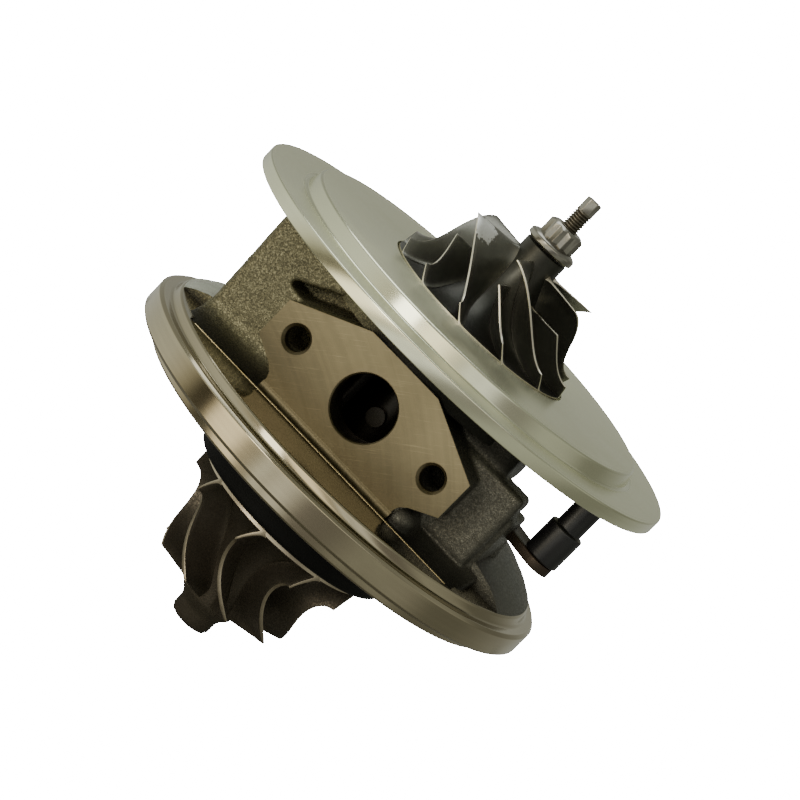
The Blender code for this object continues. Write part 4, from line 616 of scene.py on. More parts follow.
def make_finishes(scene):
    cast = tuple(scene.cartridge_housing.cast_colour)
    cut = tuple(scene.cartridge_housing.cut_colour)
    plate = tuple(scene.cartridge_plate.colour)
    blade_tone = tuple(scene.cartridge_compressor.colour)
    alloy = tuple(scene.cartridge_turbine.colour)
    # Painted shade colours for the +X side of the cast skin and of the smooth core
    cast_side_shade = (0.088, 0.086, 0.070)
    smooth = (0.50, 0.52, 0.45)
    shaded = (0.12, 0.12, 0.10)
    ground = (-14.5, -11.5, 76.8)
    made = {
        "cast": cast_finish("cast_iron_skin", cast, 3000.0, 0.75, 0.22, 2.2, cast_side_shade, True),
        "core": cast_finish("cast_iron_smooth", smooth, 3000.0, 0.85, 0.04, 1.15, shaded),
        "alloy": cast_finish("nickel_alloy_skin", alloy, 2600.0, 0.85, 0.05, 1.3),
        "flange": turned_finish("turned_iron", cut, 0.15),
        # Painted shade standing in for a dim reflection: a darker copy of the turned iron
        "ring": turned_finish("turned_ring_painted_shade", tinted(cut, 0.76), 0.12),
        "plate": turned_finish("turned_aluminium", plate, 0.19, 0.03),
        "plate_face": turned_finish("faced_aluminium", plate, 0.36, 0.02),
        "pad": milled_finish("milled_iron", (0.368, 0.315, 0.190)),
        # Painted shade: the hub is a darker copy of the blade colour
        "hub": plain_finish("wheel_hub_painted_shade", tinted(blade_tone, 0.36), 0.9, 0.36),
        "blade": plain_finish("wheel_aluminium", blade_tone, 0.9, 0.36, mark=ground),
    }
    made.update({key: plain_finish(*values) for key, values in PLAIN_FINISHES.items()})
    sheet = made["sheet"].node_tree.nodes["Principled BSDF"]
    sheet.inputs["Specular IOR Level"].default_value = 0.15
    FINISHES.update(made)


# Bearing housing
RIM_RADIUS = 68.0
RIM_TOP = 7.5
RING_RADIUS = 63.3
RING_TOP = 10.2
SPIGOT_RADIUS = 62.0
SPIGOT_Z = -3.5
PAD_FACE = -37.0
PORT_Z = 26.0
DRAIN_RADIUS = 9.0
SCREW_OFFSET = 25.0
SCREW_HOLE_RADIUS = 3.4
INLET_FACE = 38.0
CHORD = -39.6
HOUSING_TOP = 46.0
CASTING_FOOT = 8.2
CRANK_PLACE = (40.0, 0.0)


def pad_outline(shrink=0.0):
    """Outline of the drain pad in (x, z), with its flanks running into the foot."""
    half = [(23.6, 12.2), (23.7, 13.6), (24.4, 15.0), (26.0, 16.4), (33.3, 20.2), (33.3, 31.9)]
    half.append((12.0, 41.6))
    right = [(x - shrink, z) for x, z in half]
    return right + [(-x, z) for x, z in reversed(right)]


def casting_profile():
    """Half section of the turned core: low dome, waist and front flange."""
    flange_bottom = HOUSING_TOP - 6.0
    points = [(0.0, HOUSING_TOP - 0.4), (36.0, HOUSING_TOP - 0.4), (36.4, HOUSING_TOP - 0.8)]
    points += arc((36.4, flange_bottom - 6.0), -9.9, 6.0, QUARTER, 0.0, 8)
    points += arc((39.5, 24.0), -13.0, 7.2, 0.0, -QUARTER, 8)
    points += [(46.0, 16.2), (52.0, 15.1), (57.0, 13.7), (60.4, 12.1), (62.8, 10.5), (62.9, 9.4)]
    return points + [(0.0, 9.4)]


def rough_up(piece, voxel, rounds, depth):
    """Form joined blocks into one skin, ease its corners and give it sand-cast waves."""
    remesh = piece.modifiers.new("skin", "REMESH")
    remesh.mode = "VOXEL"
    remesh.voxel_size = voxel
    settle(piece)
    bm = bmesh.new()
    bm.from_mesh(piece.data)
    for _ in range(rounds):
        bmesh.ops.smooth_vert(
            bm, verts=bm.verts, factor=0.5, use_axis_x=True, use_axis_y=True, use_axis_z=True
        )
    bm.normal_update()
    for vert in bm.verts:
        wave = noise.noise(vert.co / (3.0 * MM)) + 0.7 * noise.noise(vert.co / (1.2 * MM))
        vert.co += vert.normal * depth * wave
    bm.to_mesh(piece.data)
    bm.free()
    piece.data.shade_smooth()


def passage_tools():
    """Oil drain, chamber, tapped holes and oil inlet that both cast pieces share."""
    drain = rod("drain", DRAIN_RADIUS + 0.4, 40.0, 13.5, 64, along_y(0.0, 0.0, PORT_Z, True))
    tools = [drain, block("chamber", (-13.0, -22.6, 13.4), (13.0, -3.4, 35.0), 2.0)]
    for side in (-1, 1):
        place = along_y(side * SCREW_OFFSET, PAD_FACE, PORT_Z, True)
        radius = SCREW_HOLE_RADIUS + 0.2
        hole = [(0.0, 3.0), (radius, 3.0), (radius, -16.0), (0.0, -19.0)]
        tools.append(solid_turned(f"tapped_{side}", hole, 32, place))
    port = [(0.0, 3.0), (5.6, 3.0), (5.6, -13.0), (0.0, -16.0)]
    return tools + [solid_turned("inlet_port", port, 40, along_y(0.0, INLET_FACE, PORT_Z))]


def make_core():
    """Turned middle of the cast body: dome, waist and front flange."""
    core = spun("housing_core", casting_profile(), 180, ["core", "cast", "bore"], closed=False)
    relief = block("relief", (-80.0, -80.0, 8.6), (80.0, -20.0, 39.4))
    combine(core, [relief] + passage_tools(), "DIFFERENCE")
    tube = [(6.9, 36.0), (10.0, 36.0), (10.0, 12.0), (6.9, 12.0)]
    combine(core, [spun("bearing_tube", tube, 64)], "UNION")

    def rough(middle, normal):
        return middle.z > 24.0 * MM or middle.y < -19.0 * MM and abs(normal.y) > 0.99

    def in_chamber(middle, _):
        in_depth = -19.9 * MM < middle.y < -3.0 * MM
        return abs(middle.x) < 13.2 * MM and in_depth and middle.z < 35.2 * MM

    paint(core, 1, rough)
    # Painted shade: the inside of the chamber gets the near-black bore finish
    paint(core, 2, in_chamber)
    finish_piece(core, ROOT_BODY, angle=32.0)


def skirt(name, section, low, high):
    """Cast slope below a lug, kept inside the ring."""
    piece = bar_x(name, section, low, high)
    combine(piece, [rod("inside", 61.4, 30.0, 2.0, 96)], "INTERSECT")
    return piece


def make_casting(settings):
    """Cast lugs round the core: wing, ear, pad block and bosses formed into one skin."""
    outline = [(-52.4, 46.0), (-52.2, 39.0), (-51.6, 20.0), (-51.4, 12.0), (-52.6, CASTING_FOOT)]
    outline += [(-30.0, CASTING_FOOT), (-24.0, CASTING_FOOT), (-21.0, 16.0), (-21.0, 46.0)]
    body = bevelled(slab_y("housing_lugs", outline, -25.6, 6.0), 2.6, 4, 30.0)

    lump_profile = [(0.0, 10.0), (4.0, 10.0)] + arc((0.0, 32.4), 4.0, 4.0, 0.0, QUARTER, 8)
    inlet_profile = [(0.0, 37.2), (11.8, 37.2), (14.5, 18.0), (0.0, 18.0)]
    boss_profile = [(0.0, 21.0), (7.0, 21.0), (8.2, 9.0), (0.0, 9.0)]
    left_section = [(-22.0, CASTING_FOOT), (-38.8, CASTING_FOOT), (-38.8, 9.6), (-36.0, 10.0)]
    left_section += [(-32.5, 10.6), (-29.5, 11.5), (-27.0, 13.0), (-25.6, 15.0), (-22.0, 16.0)]
    right_section = [(-20.0, CASTING_FOOT), (-38.8, CASTING_FOOT), (-38.8, 9.6), (-31.0, 10.6)]
    right_section += [(-24.4, 12.2), (-20.0, 13.4)]
    lugs = [
        block("ear", (20.0, -24.4, 12.2), (45.0, -13.0, 36.6), 1.6, 4),
        block("slot_wall", (38.0, -20.5, 8.0), (46.4, -2.0, 30.0), 0.9, 2),
        slab_y("pad_block", pad_outline(0.5), PAD_FACE + 1.2, -18.0),
        block("neck_web", (-30.0, -23.0, 33.0), (36.5, 0.0, 45.4), 3.0, 4),
        block("pad_foot", (-23.4, -35.6, CASTING_FOOT), (23.4, -20.0, 14.0), 1.0, 2),
        solid_turned("crank_boss", boss_profile, 48, at(*CRANK_PLACE)),
        solid_turned("inlet_boss", inlet_profile, 64, along_y(0.0, 0.0, PORT_Z)),
        solid_turned("lump", lump_profile, 40, along_y(26.0, 0.0, 11.3, True)),
        skirt("left_skirt", left_section, -51.2, -23.4),
        skirt("right_skirt", right_section, 23.4, 50.0),
    ]
    combine(body, lugs, "UNION")

    trench = [(-38.6, 32.6), (-38.0, 34.4), (-34.1, 36.2), (-29.2, 38.8), (-13.0, 46.4), (-10.0, 42.2)]
    trench += [(-12.0, 41.8), (-33.4, 32.1)]
    combine(body, [slab_y("slot", trench, -40.0, -15.0)] + passage_tools(), "DIFFERENCE")
    rough_up(body, settings.voxel * (1.0), 3, settings.roughness_depth)
    body.data.materials.clear()
    for finish in ("cast", "bore"):
        body.data.materials.append(FINISHES[finish])

    def in_drain(middle, _):
        reach = math.hypot(middle.x, middle.z - PORT_Z * MM)
        return reach < (DRAIN_RADIUS + 0.8) * MM and middle.y < -3.0 * MM

    # Painted shade: the inside of the drain gets the near-black bore finish
    paint(body, 1, in_drain)
    finish_piece(body, ROOT_BODY, ["bearing_housing"])


def reach_at_chord():
    """Half length of the milled flat where it meets the ring's edge."""
    return math.sqrt((RING_RADIUS - 0.7) ** 2 - CHORD**2)


def make_flange():
    """Turned rim, ring and turbine-side faces, with the milled flat on the drain side."""
    profile = [
        (24.0, RING_TOP), (RING_RADIUS - 0.4, RING_TOP), (RING_RADIUS + 0.1, RING_TOP - 0.5),
        (RING_RADIUS + 0.5, RIM_TOP + 0.9), (RING_RADIUS + 0.9, RIM_TOP + 0.25),
        (RING_RADIUS + 1.5, RIM_TOP), (RIM_RADIUS - 0.9, RIM_TOP), (RIM_RADIUS, RIM_TOP - 0.8),
        (RIM_RADIUS, 0.8), (RIM_RADIUS - 0.8, 0.0), (SPIGOT_RADIUS + 0.6, 0.0),
        (SPIGOT_RADIUS + 0.3, -0.3), (SPIGOT_RADIUS, -0.3), (SPIGOT_RADIUS, SPIGOT_Z + 0.5),
        (SPIGOT_RADIUS - 0.5, SPIGOT_Z), (30.2, SPIGOT_Z), (30.2, 1.5), (16.0, 1.5), (13.0, -1.5),
        (13.0, -12.0), (12.6, -12.4), (9.0, -12.4), (9.0, 5.0), (24.0, 5.0),
    ]
    flange = spun("flange", profile, 240, ["flange", "ring"], ease=0.18 * MM)
    reach = reach_at_chord()
    dowel_place = Matrix.Translation(polar(52.0, math.radians(110.0)))
    tools = [
        block("groove", (-reach, CHORD, 8.8), (reach, -20.0, 14.0)),
        rod("crank_hole", 5.0, 12.0, -6.0, 40, at(*CRANK_PLACE)),
        rod("dowel_hole", 1.8, 1.6, -6.0, 24, dowel_place),
    ]
    combine(flange, tools, "DIFFERENCE")
    # Painted shade: the flat top of the ring gets the darker copy of the turned iron
    paint(flange, 1, lambda middle, normal: normal.z > 0.99 and middle.z > (RING_TOP - 0.1) * MM)
    crisp(flange)
    finish_piece(flange, ROOT_BODY, angle=25.0)


def make_milled_ledge():
    """Curved run-out of the pad face towards the flange, left by the face mill."""
    section = [(-36.9, 8.0), (-36.9, 12.5), (-37.02, 12.3)]
    section += arc((-38.9, 12.1), 1.88, 1.88, 0.0, math.radians(-81.0), 9)
    section += [(-39.0, 9.6), (-39.5, 9.5), (-39.5, 8.0)]
    ledge = bar_x("milled_ledge", section, -23.8, 23.8, ["pad"])
    finish_piece(ledge, ROOT_BODY, angle=40.0)


def make_chord_highlight():
    """Painted highlight: a thin strip in a bright colour along the edge where the face mill cut across
    the ring.
    """
    size = 0.16
    section = [(CHORD - size, RING_TOP - size), (CHORD + size, RING_TOP - size)]
    section += [(CHORD + size, RING_TOP + 0.4 * size), (CHORD, RING_TOP + size)]
    section.append((CHORD - size, RING_TOP + 0.2 * size))
    reach = reach_at_chord() - 2.0
    finish_piece(bar_x("chord_highlight_strip", section, -reach, reach, ["edge_highlight"]), ROOT_BODY)


def make_pad_face():
    face = slab_y("drain_pad_face", pad_outline(), PAD_FACE, PAD_FACE + 4.0, ["pad", "cast"])
    mouths = [("drain_mouth", 0.0, DRAIN_RADIUS, 0.35, 0.7, 96)]
    for side in (-1, 1):
        mouths.append((f"mouth_{side}", side * SCREW_OFFSET, SCREW_HOLE_RADIUS, 0.15, 0.9, 64))
    tools = []
    for name, x, radius, above, flare, steps in mouths:
        profile = [(0.0, 8.0), (radius, 8.0), (radius, flare - above), (radius + flare, -above)]
        profile.append((0.0, -above))
        tools.append(solid_turned(name, profile, steps, along_y(x, PAD_FACE, PORT_Z)))
    combine(face, tools, "DIFFERENCE")

    def outer_side(middle, normal):
        near_edge = abs(middle.x) > 30.0 * MM or middle.z > 35.5 * MM
        return abs(normal.y) < 0.3 and near_edge

    paint(face, 1, outer_side)
    crisp(face)
    finish_piece(face, ROOT_BODY, angle=30.0)


def make_inlet_face():
    profile = [(5.2, 26.0), (5.2, INLET_FACE - 0.8), (6.0, INLET_FACE), (11.6, INLET_FACE)]
    profile += [(12.1, INLET_FACE - 0.5), (12.4, 34.0), (10.0, 33.0), (8.0, 26.0)]
    face = spun("oil_inlet_face", profile, 96, ["pad"], place=along_y(0.0, 0.0, PORT_Z))
    finish_piece(face, ROOT_BODY, angle=30.0)


# Heat shield
SHIELD_RADIUS = 32.6
SHIELD_BRIM_RADIUS = 34.6
SHIELD_CORNER = 1.8
SHIELD_SHEET = 0.9
SHIELD_SEAT_Z = -3.8
SHIELD_FLOOR_Z = -16.5


def make_heat_shield():
    centre = (SHIELD_RADIUS - SHIELD_CORNER, SHIELD_FLOOR_Z + SHIELD_CORNER)
    inner_corner = SHIELD_CORNER - SHIELD_SHEET
    under_brim = SHIELD_SEAT_Z - SHIELD_SHEET
    profile = [(SHIELD_RADIUS - SHIELD_SHEET, SHIELD_SEAT_Z), (SHIELD_BRIM_RADIUS, SHIELD_SEAT_Z)]
    profile += [(SHIELD_BRIM_RADIUS, under_brim), (SHIELD_RADIUS, under_brim)]
    profile += arc(centre, SHIELD_CORNER, SHIELD_CORNER, 0.0, -QUARTER, 8)
    profile += [(11.4, SHIELD_FLOOR_Z), (11.4, SHIELD_FLOOR_Z + SHIELD_SHEET)]
    profile += arc(centre, inner_corner, inner_corner, -QUARTER, 0.0, 8)
    shield = spun("heat_shield_sheet", profile, 144, ["sheet"], ease=0.2 * MM)
    finish_piece(shield, ROOT_BODY, ["heat_shield"], 40.0)


# Back plate
PLATE_RADIUS = 71.0
PLATE_BACK_Z = 49.5
PLATE_RIM_Z = 53.4
PLATE_STEP_Z = 57.5
WHEEL_FLOOR_Z = 54.5


def make_back_plate(settings):
    """Turned disc: wheel recess, raised step with a groove at its foot, rim and spigot."""
    profile = [
        (7.8, WHEEL_FLOOR_Z), (29.8, WHEEL_FLOOR_Z), (29.8, PLATE_STEP_Z - 0.2),
        (30.0, PLATE_STEP_Z), (56.6, PLATE_STEP_Z), (57.1, PLATE_STEP_Z - 0.4), (58.0, 53.5),
        (58.3, 53.2), (58.8, 53.0), (59.2, 53.2), (59.4, PLATE_RIM_Z),
        (PLATE_RADIUS - 0.3, PLATE_RIM_Z), (PLATE_RADIUS, PLATE_RIM_Z - 0.3),
        (PLATE_RADIUS, PLATE_BACK_Z + 0.2), (PLATE_RADIUS - 0.2, PLATE_BACK_Z),
        (36.5, PLATE_BACK_Z), (36.5, 46.3), (17.0, 46.3), (17.0, 44.0), (9.8, 44.0),
        (9.8, 45.6), (7.8, 45.6),
    ]
    plate = spun("back_plate", profile, 240, ["plate", "plate_face"], ease=settings.edge_break)
    pocket = [(0.0, 56.0), (4.5, 56.0), (4.5, 50.6), (2.7, 50.6), (2.7, 45.0), (0.0, 45.0)]
    tools = []
    for index in range(3):
        place = Matrix.Translation(polar(22.5, math.radians(-30.0 + 120.0 * index)))
        tools.append(solid_turned(f"pocket_{index}", pocket, 40, place))
    combine(plate, tools, "DIFFERENCE")
    paint(plate, 1, lambda _, normal: abs(normal.z) > 0.99)
    finish_piece(plate, ROOT_BODY, ["compressor_back_plate"], 28.0)


# Wheels
BLADE_SINK = 0.7
BLADE_FILLET = 1.6 * MM


def quarter_curve(start, end, amount, fullness):
    """Point that leaves start along Z and arrives at end along the radius."""
    angle = amount * QUARTER
    radial = (1.0 - math.cos(angle)) ** fullness
    axial = math.sin(angle) ** (1.0 / fullness)
    return (start[0] + (end[0] - start[0]) * radial, start[1] + (end[1] - start[1]) * axial)


def blade(name, hub_line, tip_line, turn_of, along, settings, finishes):
    """Curved blade with a filleted root, thin outer edge and rounded ends."""
    tip = settings.tip_thickness
    root = settings.root_thickness
    bm = bmesh.new()
    bmesh.ops.create_grid(bm, x_segments=along, y_segments=12, size=0.5)
    weights = {}
    for vert in bm.verts:
        stream = vert.co.x + 0.5
        height = (vert.co.y + 0.5) ** 1.5
        hub_r, hub_z = hub_line(stream)
        tip_r, tip_z = tip_line(stream)
        r = hub_r + (tip_r - hub_r) * height
        z = hub_z + (tip_z - hub_z) * height
        vert.co = polar(r, turn_of(stream, height), z)
        fillet = BLADE_FILLET * math.exp(-((height / 0.085) ** 1.3))
        ends = 0.55 + 0.45 * smooth_step(min(stream, 1.0 - stream) / 0.06)
        weights[vert.index] = (tip + (root - tip) * (1.0 - height) ** 1.3) * ends + fillet
    bmesh.ops.recalc_face_normals(bm, faces=bm.faces)
    sheet = object_of(name, bm, [FINISHES[finish] for finish in finishes])
    group = sheet.vertex_groups.new(name="thickness")
    full = max(weights.values())
    for index, value in weights.items():
        group.add([index], value / full, "REPLACE")
    solid = sheet.modifiers.new("thickness", "SOLIDIFY")
    solid.thickness = full
    solid.offset = 0.0
    solid.vertex_group = group.name
    solid.use_even_offset = False
    solid.material_offset_rim = 1
    edge = sheet.modifiers.new("edge", "BEVEL")
    edge.width = 0.12 * MM
    edge.segments = 2
    edge.limit_method = "ANGLE"
    edge.angle_limit = math.radians(50.0)
    return settle(sheet)


def join_blades(wheel, blades_and_angles):
    """Add turned copies of each blade to the wheel's mesh."""
    bm = bmesh.new()
    bm.from_mesh(wheel.data)
    for piece, angles in blades_and_angles:
        for angle in angles:
            count = len(bm.verts)
            bm.from_mesh(piece.data)
            bm.verts.ensure_lookup_table()
            added = bm.verts[count:]
            bmesh.ops.transform(bm, matrix=Matrix.Rotation(angle, 4, "Z"), verts=added)
    bm.to_mesh(wheel.data)
    bm.free()
    discard([piece for piece, _ in blades_and_angles])


def spread(first, count):
    """Angles of evenly spaced blades, from the first one's in degrees."""
    return [math.radians(first) + i * (math.tau / count) for i in range(count)]


def axis_distance(middle):
    return math.hypot(middle.x, middle.y)


WHEEL_RADIUS = 29.3
WHEEL_HUB_RADIUS = 6.6
WHEEL_INDUCER_RADIUS = 21.2
WHEEL_INLET_Z = 78.6
WHEEL_DISC_Z = 57.8
WHEEL_TIP_Z = 61.7
WHEEL_NOSE_Z = 83.2
SPLITTER_INLET_Z = 70.2


def compressor_hub(amount):
    start = (WHEEL_HUB_RADIUS, WHEEL_INLET_Z)
    return quarter_curve(start, (WHEEL_RADIUS, WHEEL_DISC_Z), amount, 1.0)


def compressor_tip(amount):
    start = (WHEEL_INDUCER_RADIUS, WHEEL_INLET_Z)
    return quarter_curve(start, (WHEEL_RADIUS, WHEEL_TIP_Z), amount, 1.15)


def compressor_blade(name, start, along, settings):
    def amount_of(stream):
        return start + (1.0 - start) * stream**1.6

    def hub(stream):
        amount = amount_of(stream)
        r, z = compressor_hub(amount)
        edge = smooth_step((amount - 0.5) / 0.5)
        return (r - BLADE_SINK * (1.0 - edge), z - BLADE_SINK * edge)

    def turn(stream, height):
        """Angle gained from the inlet, steep there and nearly radial at the outlet."""
        amount = amount_of(stream)
        lean = math.radians(8.0) * (1.0 - height) * smooth_step((amount - 0.55) / 0.45)
        return math.radians(57.5) * math.sin(amount * QUARTER) ** 0.6 + lean

    def tip(stream):
        return compressor_tip(amount_of(stream))

    return blade(name, hub, tip, turn, along, settings, ["blade", "blade_edge"])


def make_compressor_wheel(settings):
    nose = [(2.8, WHEEL_NOSE_Z), (WHEEL_HUB_RADIUS - 0.4, WHEEL_NOSE_Z)]
    nose.append((WHEEL_HUB_RADIUS, WHEEL_NOSE_Z - 0.4))
    hub_line = [compressor_hub(i / 28) for i in range(29)]
    back = [(WHEEL_RADIUS, 56.5), (17.6, 55.5), (11.7, 55.0), (2.8, 55.0)]
    profile = nose + hub_line + back
    wheel = spun("compressor_impeller", profile, 144, ["blade", "blade_edge", "hub"])
    rim = (WHEEL_RADIUS - 0.1) * MM
    paint(wheel, 1, lambda middle, _: axis_distance(middle) > rim)
    # Painted shade: the hub between the blades gets the darker hub finish
    paint(wheel, 2, lambda middle, _: axis_distance(middle) <= rim)
    full = compressor_blade("full_blade", 0.0, 30, settings)
    depth = (WHEEL_INLET_Z - SPLITTER_INLET_Z) / (WHEEL_INLET_Z - WHEEL_DISC_Z)
    splitter = compressor_blade("splitter_blade", math.asin(depth) / QUARTER, 22, settings)
    angles = spread(-152.5, settings.pairs)
    between = [angle + math.tau / settings.pairs / 2 for angle in angles]
    join_blades(wheel, [(full, angles), (splitter, between)])
    finish_piece(wheel, ROTOR_BODY, ["compressor_wheel"], 40.0)


TURBINE_RADIUS = 28.2
TURBINE_HUB_RADIUS = 8.6
TURBINE_EXDUCER_RADIUS = 22.0
TURBINE_DISC_Z = -18.2
TURBINE_TIP_Z = -24.6
TURBINE_HUB_END_Z = -48.6
TURBINE_TIP_END_Z = -44.4


def turbine_hub(amount):
    angle = amount * QUARTER
    r = TURBINE_HUB_RADIUS + (TURBINE_RADIUS - TURBINE_HUB_RADIUS) * (1.0 - math.sin(angle))
    return (r, TURBINE_DISC_Z - (TURBINE_DISC_Z - TURBINE_HUB_END_Z) * (1.0 - math.cos(angle)))


def turbine_tip(amount):
    angle = amount * QUARTER
    span = TURBINE_RADIUS - TURBINE_EXDUCER_RADIUS
    r = TURBINE_EXDUCER_RADIUS + span * (1.0 - math.sin(angle)) ** 1.5
    return (r, TURBINE_TIP_Z - (TURBINE_TIP_Z - TURBINE_TIP_END_Z) * (1.0 - math.cos(angle)))


def turbine_turn(z):
    """Angle of the radial blade elements, which depends on the depth alone."""
    share = max(min((TURBINE_DISC_Z - z) / (TURBINE_DISC_Z - TURBINE_TIP_END_Z), 1.0), 0.0)
    return math.radians(76.9) * share**2.17 - math.radians(54.4) * share


def make_turbine_wheel(settings):
    profile = [(0.0, -5.0), (8.3, -5.0), (8.3, -7.45), (7.1, -7.45), (7.1, -9.35), (8.3, -9.35)]
    profile += [(8.3, -13.0), (10.8, -14.2), (10.8, -17.1), (TURBINE_RADIUS - 0.2, -17.2)]
    profile += [turbine_hub(i / 28) for i in range(29)]
    profile += [(8.4, -50.0), (6.9, -51.6), (6.3, -53.0), (6.2, -56.2), (5.6, -57.2), (4.7, -57.6)]
    profile.append((0.0, -57.6))
    wheel = spun("turbine_rotor_wheel", profile, 144, ["alloy", "alloy_edge"], closed=False)

    def on_rim(middle, _):
        return axis_distance(middle) > (TURBINE_RADIUS - 0.25) * MM and middle.z < -17.0 * MM

    paint(wheel, 1, on_rim)

    def hub(stream):
        r, z = turbine_hub(stream)
        edge = smooth_step(stream / 0.5)
        return (r - BLADE_SINK * edge, z + 0.6 * (1.0 - edge))

    def turn(stream, height):
        hub_z = turbine_hub(stream)[1]
        return turbine_turn(hub_z + (turbine_tip(stream)[1] - hub_z) * height)

    finishes = ["alloy", "alloy_edge"]
    piece = blade("turbine_blade", hub, turbine_tip, turn, 30, settings, finishes)
    join_blades(wheel, [(piece, spread(-123.8, settings.blades))])
    finish_piece(wheel, ROTOR_BODY, ["turbine_wheel"], 40.0)


# Shaft end and nut
STUB_RADIUS = 2.5
JOURNAL_RADIUS = 4.0
WAIST_RADIUS = 3.5
THREAD_PITCH = 0.8
THREAD_TOP_Z = 97.0
NUT_BASE_Z = 83.5
NUT_TOP_Z = 91.4
DRIVE_FLATS = 4.2


def make_shaft():
    level = THREAD_TOP_Z
    profile = [(0.0, THREAD_TOP_Z + 0.4), (2.1, THREAD_TOP_Z + 0.4)]
    while level > 91.0:
        profile += [(STUB_RADIUS, level), (STUB_RADIUS, level - 0.12)]
        profile.append((2.06, level - THREAD_PITCH / 2))
        level -= THREAD_PITCH
    profile += [(STUB_RADIUS, level), (STUB_RADIUS, 36.7), (JOURNAL_RADIUS, 36.7)]
    profile += [(JOURNAL_RADIUS, 27.4), (WAIST_RADIUS, 26.4), (WAIST_RADIUS, 15.0)]
    profile += [(JOURNAL_RADIUS, 14.0), (JOURNAL_RADIUS, 2.0), (4.7, 0.6), (6.6, 0.0)]
    profile += [(6.6, -4.7), (0.0, -4.7)]
    shaft = spun("shaft_with_thread", profile, 96, ["steel", "thread"], closed=False)
    paint(shaft, 1, lambda middle, _: middle.z > 91.0 * MM)
    finish_piece(shaft, ROTOR_BODY, ["rotor_shaft"], 30.0)

    corner = DRIVE_FLATS / math.sqrt(3.0)
    angles = [math.radians(8.5 + 60 * i) for i in range(6)]
    outline = [(corner * math.cos(a), corner * math.sin(a)) for a in angles]
    drive = slab("shaft_drive_end", outline, THREAD_TOP_Z + 0.2, THREAD_TOP_Z + 4.2, ["steel"])
    finish_piece(bevelled(drive, 0.22), ROTOR_BODY, angle=30.0)


def make_nut():
    flange = [(2.8, 86.4), (5.4, 86.4), (6.6, 85.9), (7.1, 85.6), (7.4, 85.2), (7.4, 84.1)]
    flange += [(7.1, NUT_BASE_Z + 0.1), (2.8, NUT_BASE_Z)]
    base = spun("nut_flange", flange, 96, ["steel"], ease=0.15 * MM)
    finish_piece(base, ROTOR_BODY, ["shaft_nut"], 30.0)

    outline = []
    for i in range(24):
        radius = 5.6 if i % 2 == 0 else 4.9
        angle = math.tau * i / 24
        outline.append((radius * math.cos(angle), radius * math.sin(angle)))
    crown = slab("nut_crown", outline, 85.8, NUT_TOP_Z, ["steel"])
    dome = [(0.0, NUT_TOP_Z), (4.3, NUT_TOP_Z), (5.7, NUT_TOP_Z - 1.0), (5.7, 85.0), (0.0, 85.0)]
    combine(crown, [solid_turned("dome", dome, 64)], "INTERSECT")
    bore = [(0.0, 93.0), (3.4, 93.0), (2.7, 90.8), (2.7, 84.0), (0.0, 84.0)]
    combine(crown, [solid_turned("bore", bore, 48)], "DIFFERENCE")
    finish_piece(bevelled(crown, 0.22, 3, 30.0), ROTOR_BODY, angle=30.0)


# Crank lever
ARM_LENGTH = 18.7
ARM_ANGLE = math.radians(-28.7)
CRANK_HOLE_RADIUS = 3.2
PIN_HOLE_RADIUS = 2.9


def on_arm(offset):
    """Place on the lever arm, at an offset from the crank's axis."""
    return at(*CRANK_PLACE) @ Matrix.Rotation(ARM_ANGLE, 4, "Z") @ at(offset, 0.0)


def link_outline(hub, eye, length, count=20):
    """Two circles and their common tangents."""
    turn = math.acos((hub - eye) / length)
    points = []
    for i in range(count * 2 + 1):
        angle = turn + (math.tau - 2 * turn) * i / (count * 2)
        points.append((hub * math.cos(angle), hub * math.sin(angle)))
    return points + [(length + x, y) for x, y in arc((0.0, 0.0), eye, eye, -turn, turn, count)]


def make_lever():
    outline = link_outline(6.0, 4.7, ARM_LENGTH)
    arm = slab("lever_plate", outline, 23.5, 26.2, ["brown"], on_arm(0.0))
    crank_hole = rod("hole_0", CRANK_HOLE_RADIUS, 30.0, 20.0, 48, on_arm(0.0))
    pin_hole = rod("hole_1", PIN_HOLE_RADIUS, 30.0, 20.0, 48, on_arm(ARM_LENGTH))
    combine(arm, [crank_hole, pin_hole], "DIFFERENCE")
    finish_piece(bevelled(arm, 0.35), LEVER_BODY, ["lever_arm"], 30.0)

    profile = [(0.0, 46.5), (3.2, 46.5), (3.9, 45.9), (3.9, 37.2), (4.3, 36.9), (4.9, 36.9)]
    profile += [(5.2, 36.5), (5.2, 26.8), (5.0, 26.5), (PIN_HOLE_RADIUS, 26.5)]
    profile += [(PIN_HOLE_RADIUS, 40.5), (0.0, 40.5)]
    place = on_arm(ARM_LENGTH)
    cap = spun("lever_cap", profile, 96, ["plastic"], closed=False, place=place, ease=0.25 * MM)
    finish_piece(cap, LEVER_BODY, ["lever_pin_cap"], 30.0)


# Finishes for the CAD solids that are shown as they are
NODE_FINISHES = {
    "steel": (
        "back_plate_screw_1", "back_plate_screw_2", "back_plate_screw_3", "turbine_seal_ring",
        "compressor_seal_ring", "oil_deflector", "flange_dowel", "lever_bush", "thrust_collar",
        "oil_flinger", "crank_shaft", "lever_pin", "inner_crank_arm",
    ),
    "bronze": ("journal_bearing", "thrust_bearing"),
    # Painted shade: the pin seen inside the drain is near-black
    "bore": ("bearing_locating_pin",),
    "rubber": ("back_plate_o_ring",),
}


def dress_nodes():
    for finish, names in NODE_FINISHES.items():
        for name in names:
            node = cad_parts[name]
            node.data.materials.clear()
            node.data.materials.append(FINISHES[finish])


# Stage
CAMERA_PLACE = Vector((0.1190, -0.7986, 0.1869))
CAMERA_RIGHT = Vector((0.68765, 0.24005, 0.68524))
CAMERA_UP = Vector((-0.71142, 0.03430, 0.70196))
CAMERA_AHEAD = Vector((-0.14500, 0.97020, -0.19436))
FOCAL_PIXELS = 3091.26
PICTURE_WIDTH = 800.0
SENSOR_WIDTH = 36.0
FLOOR_Z = -58.0 * MM
CAMERA_WHITE = 30.0


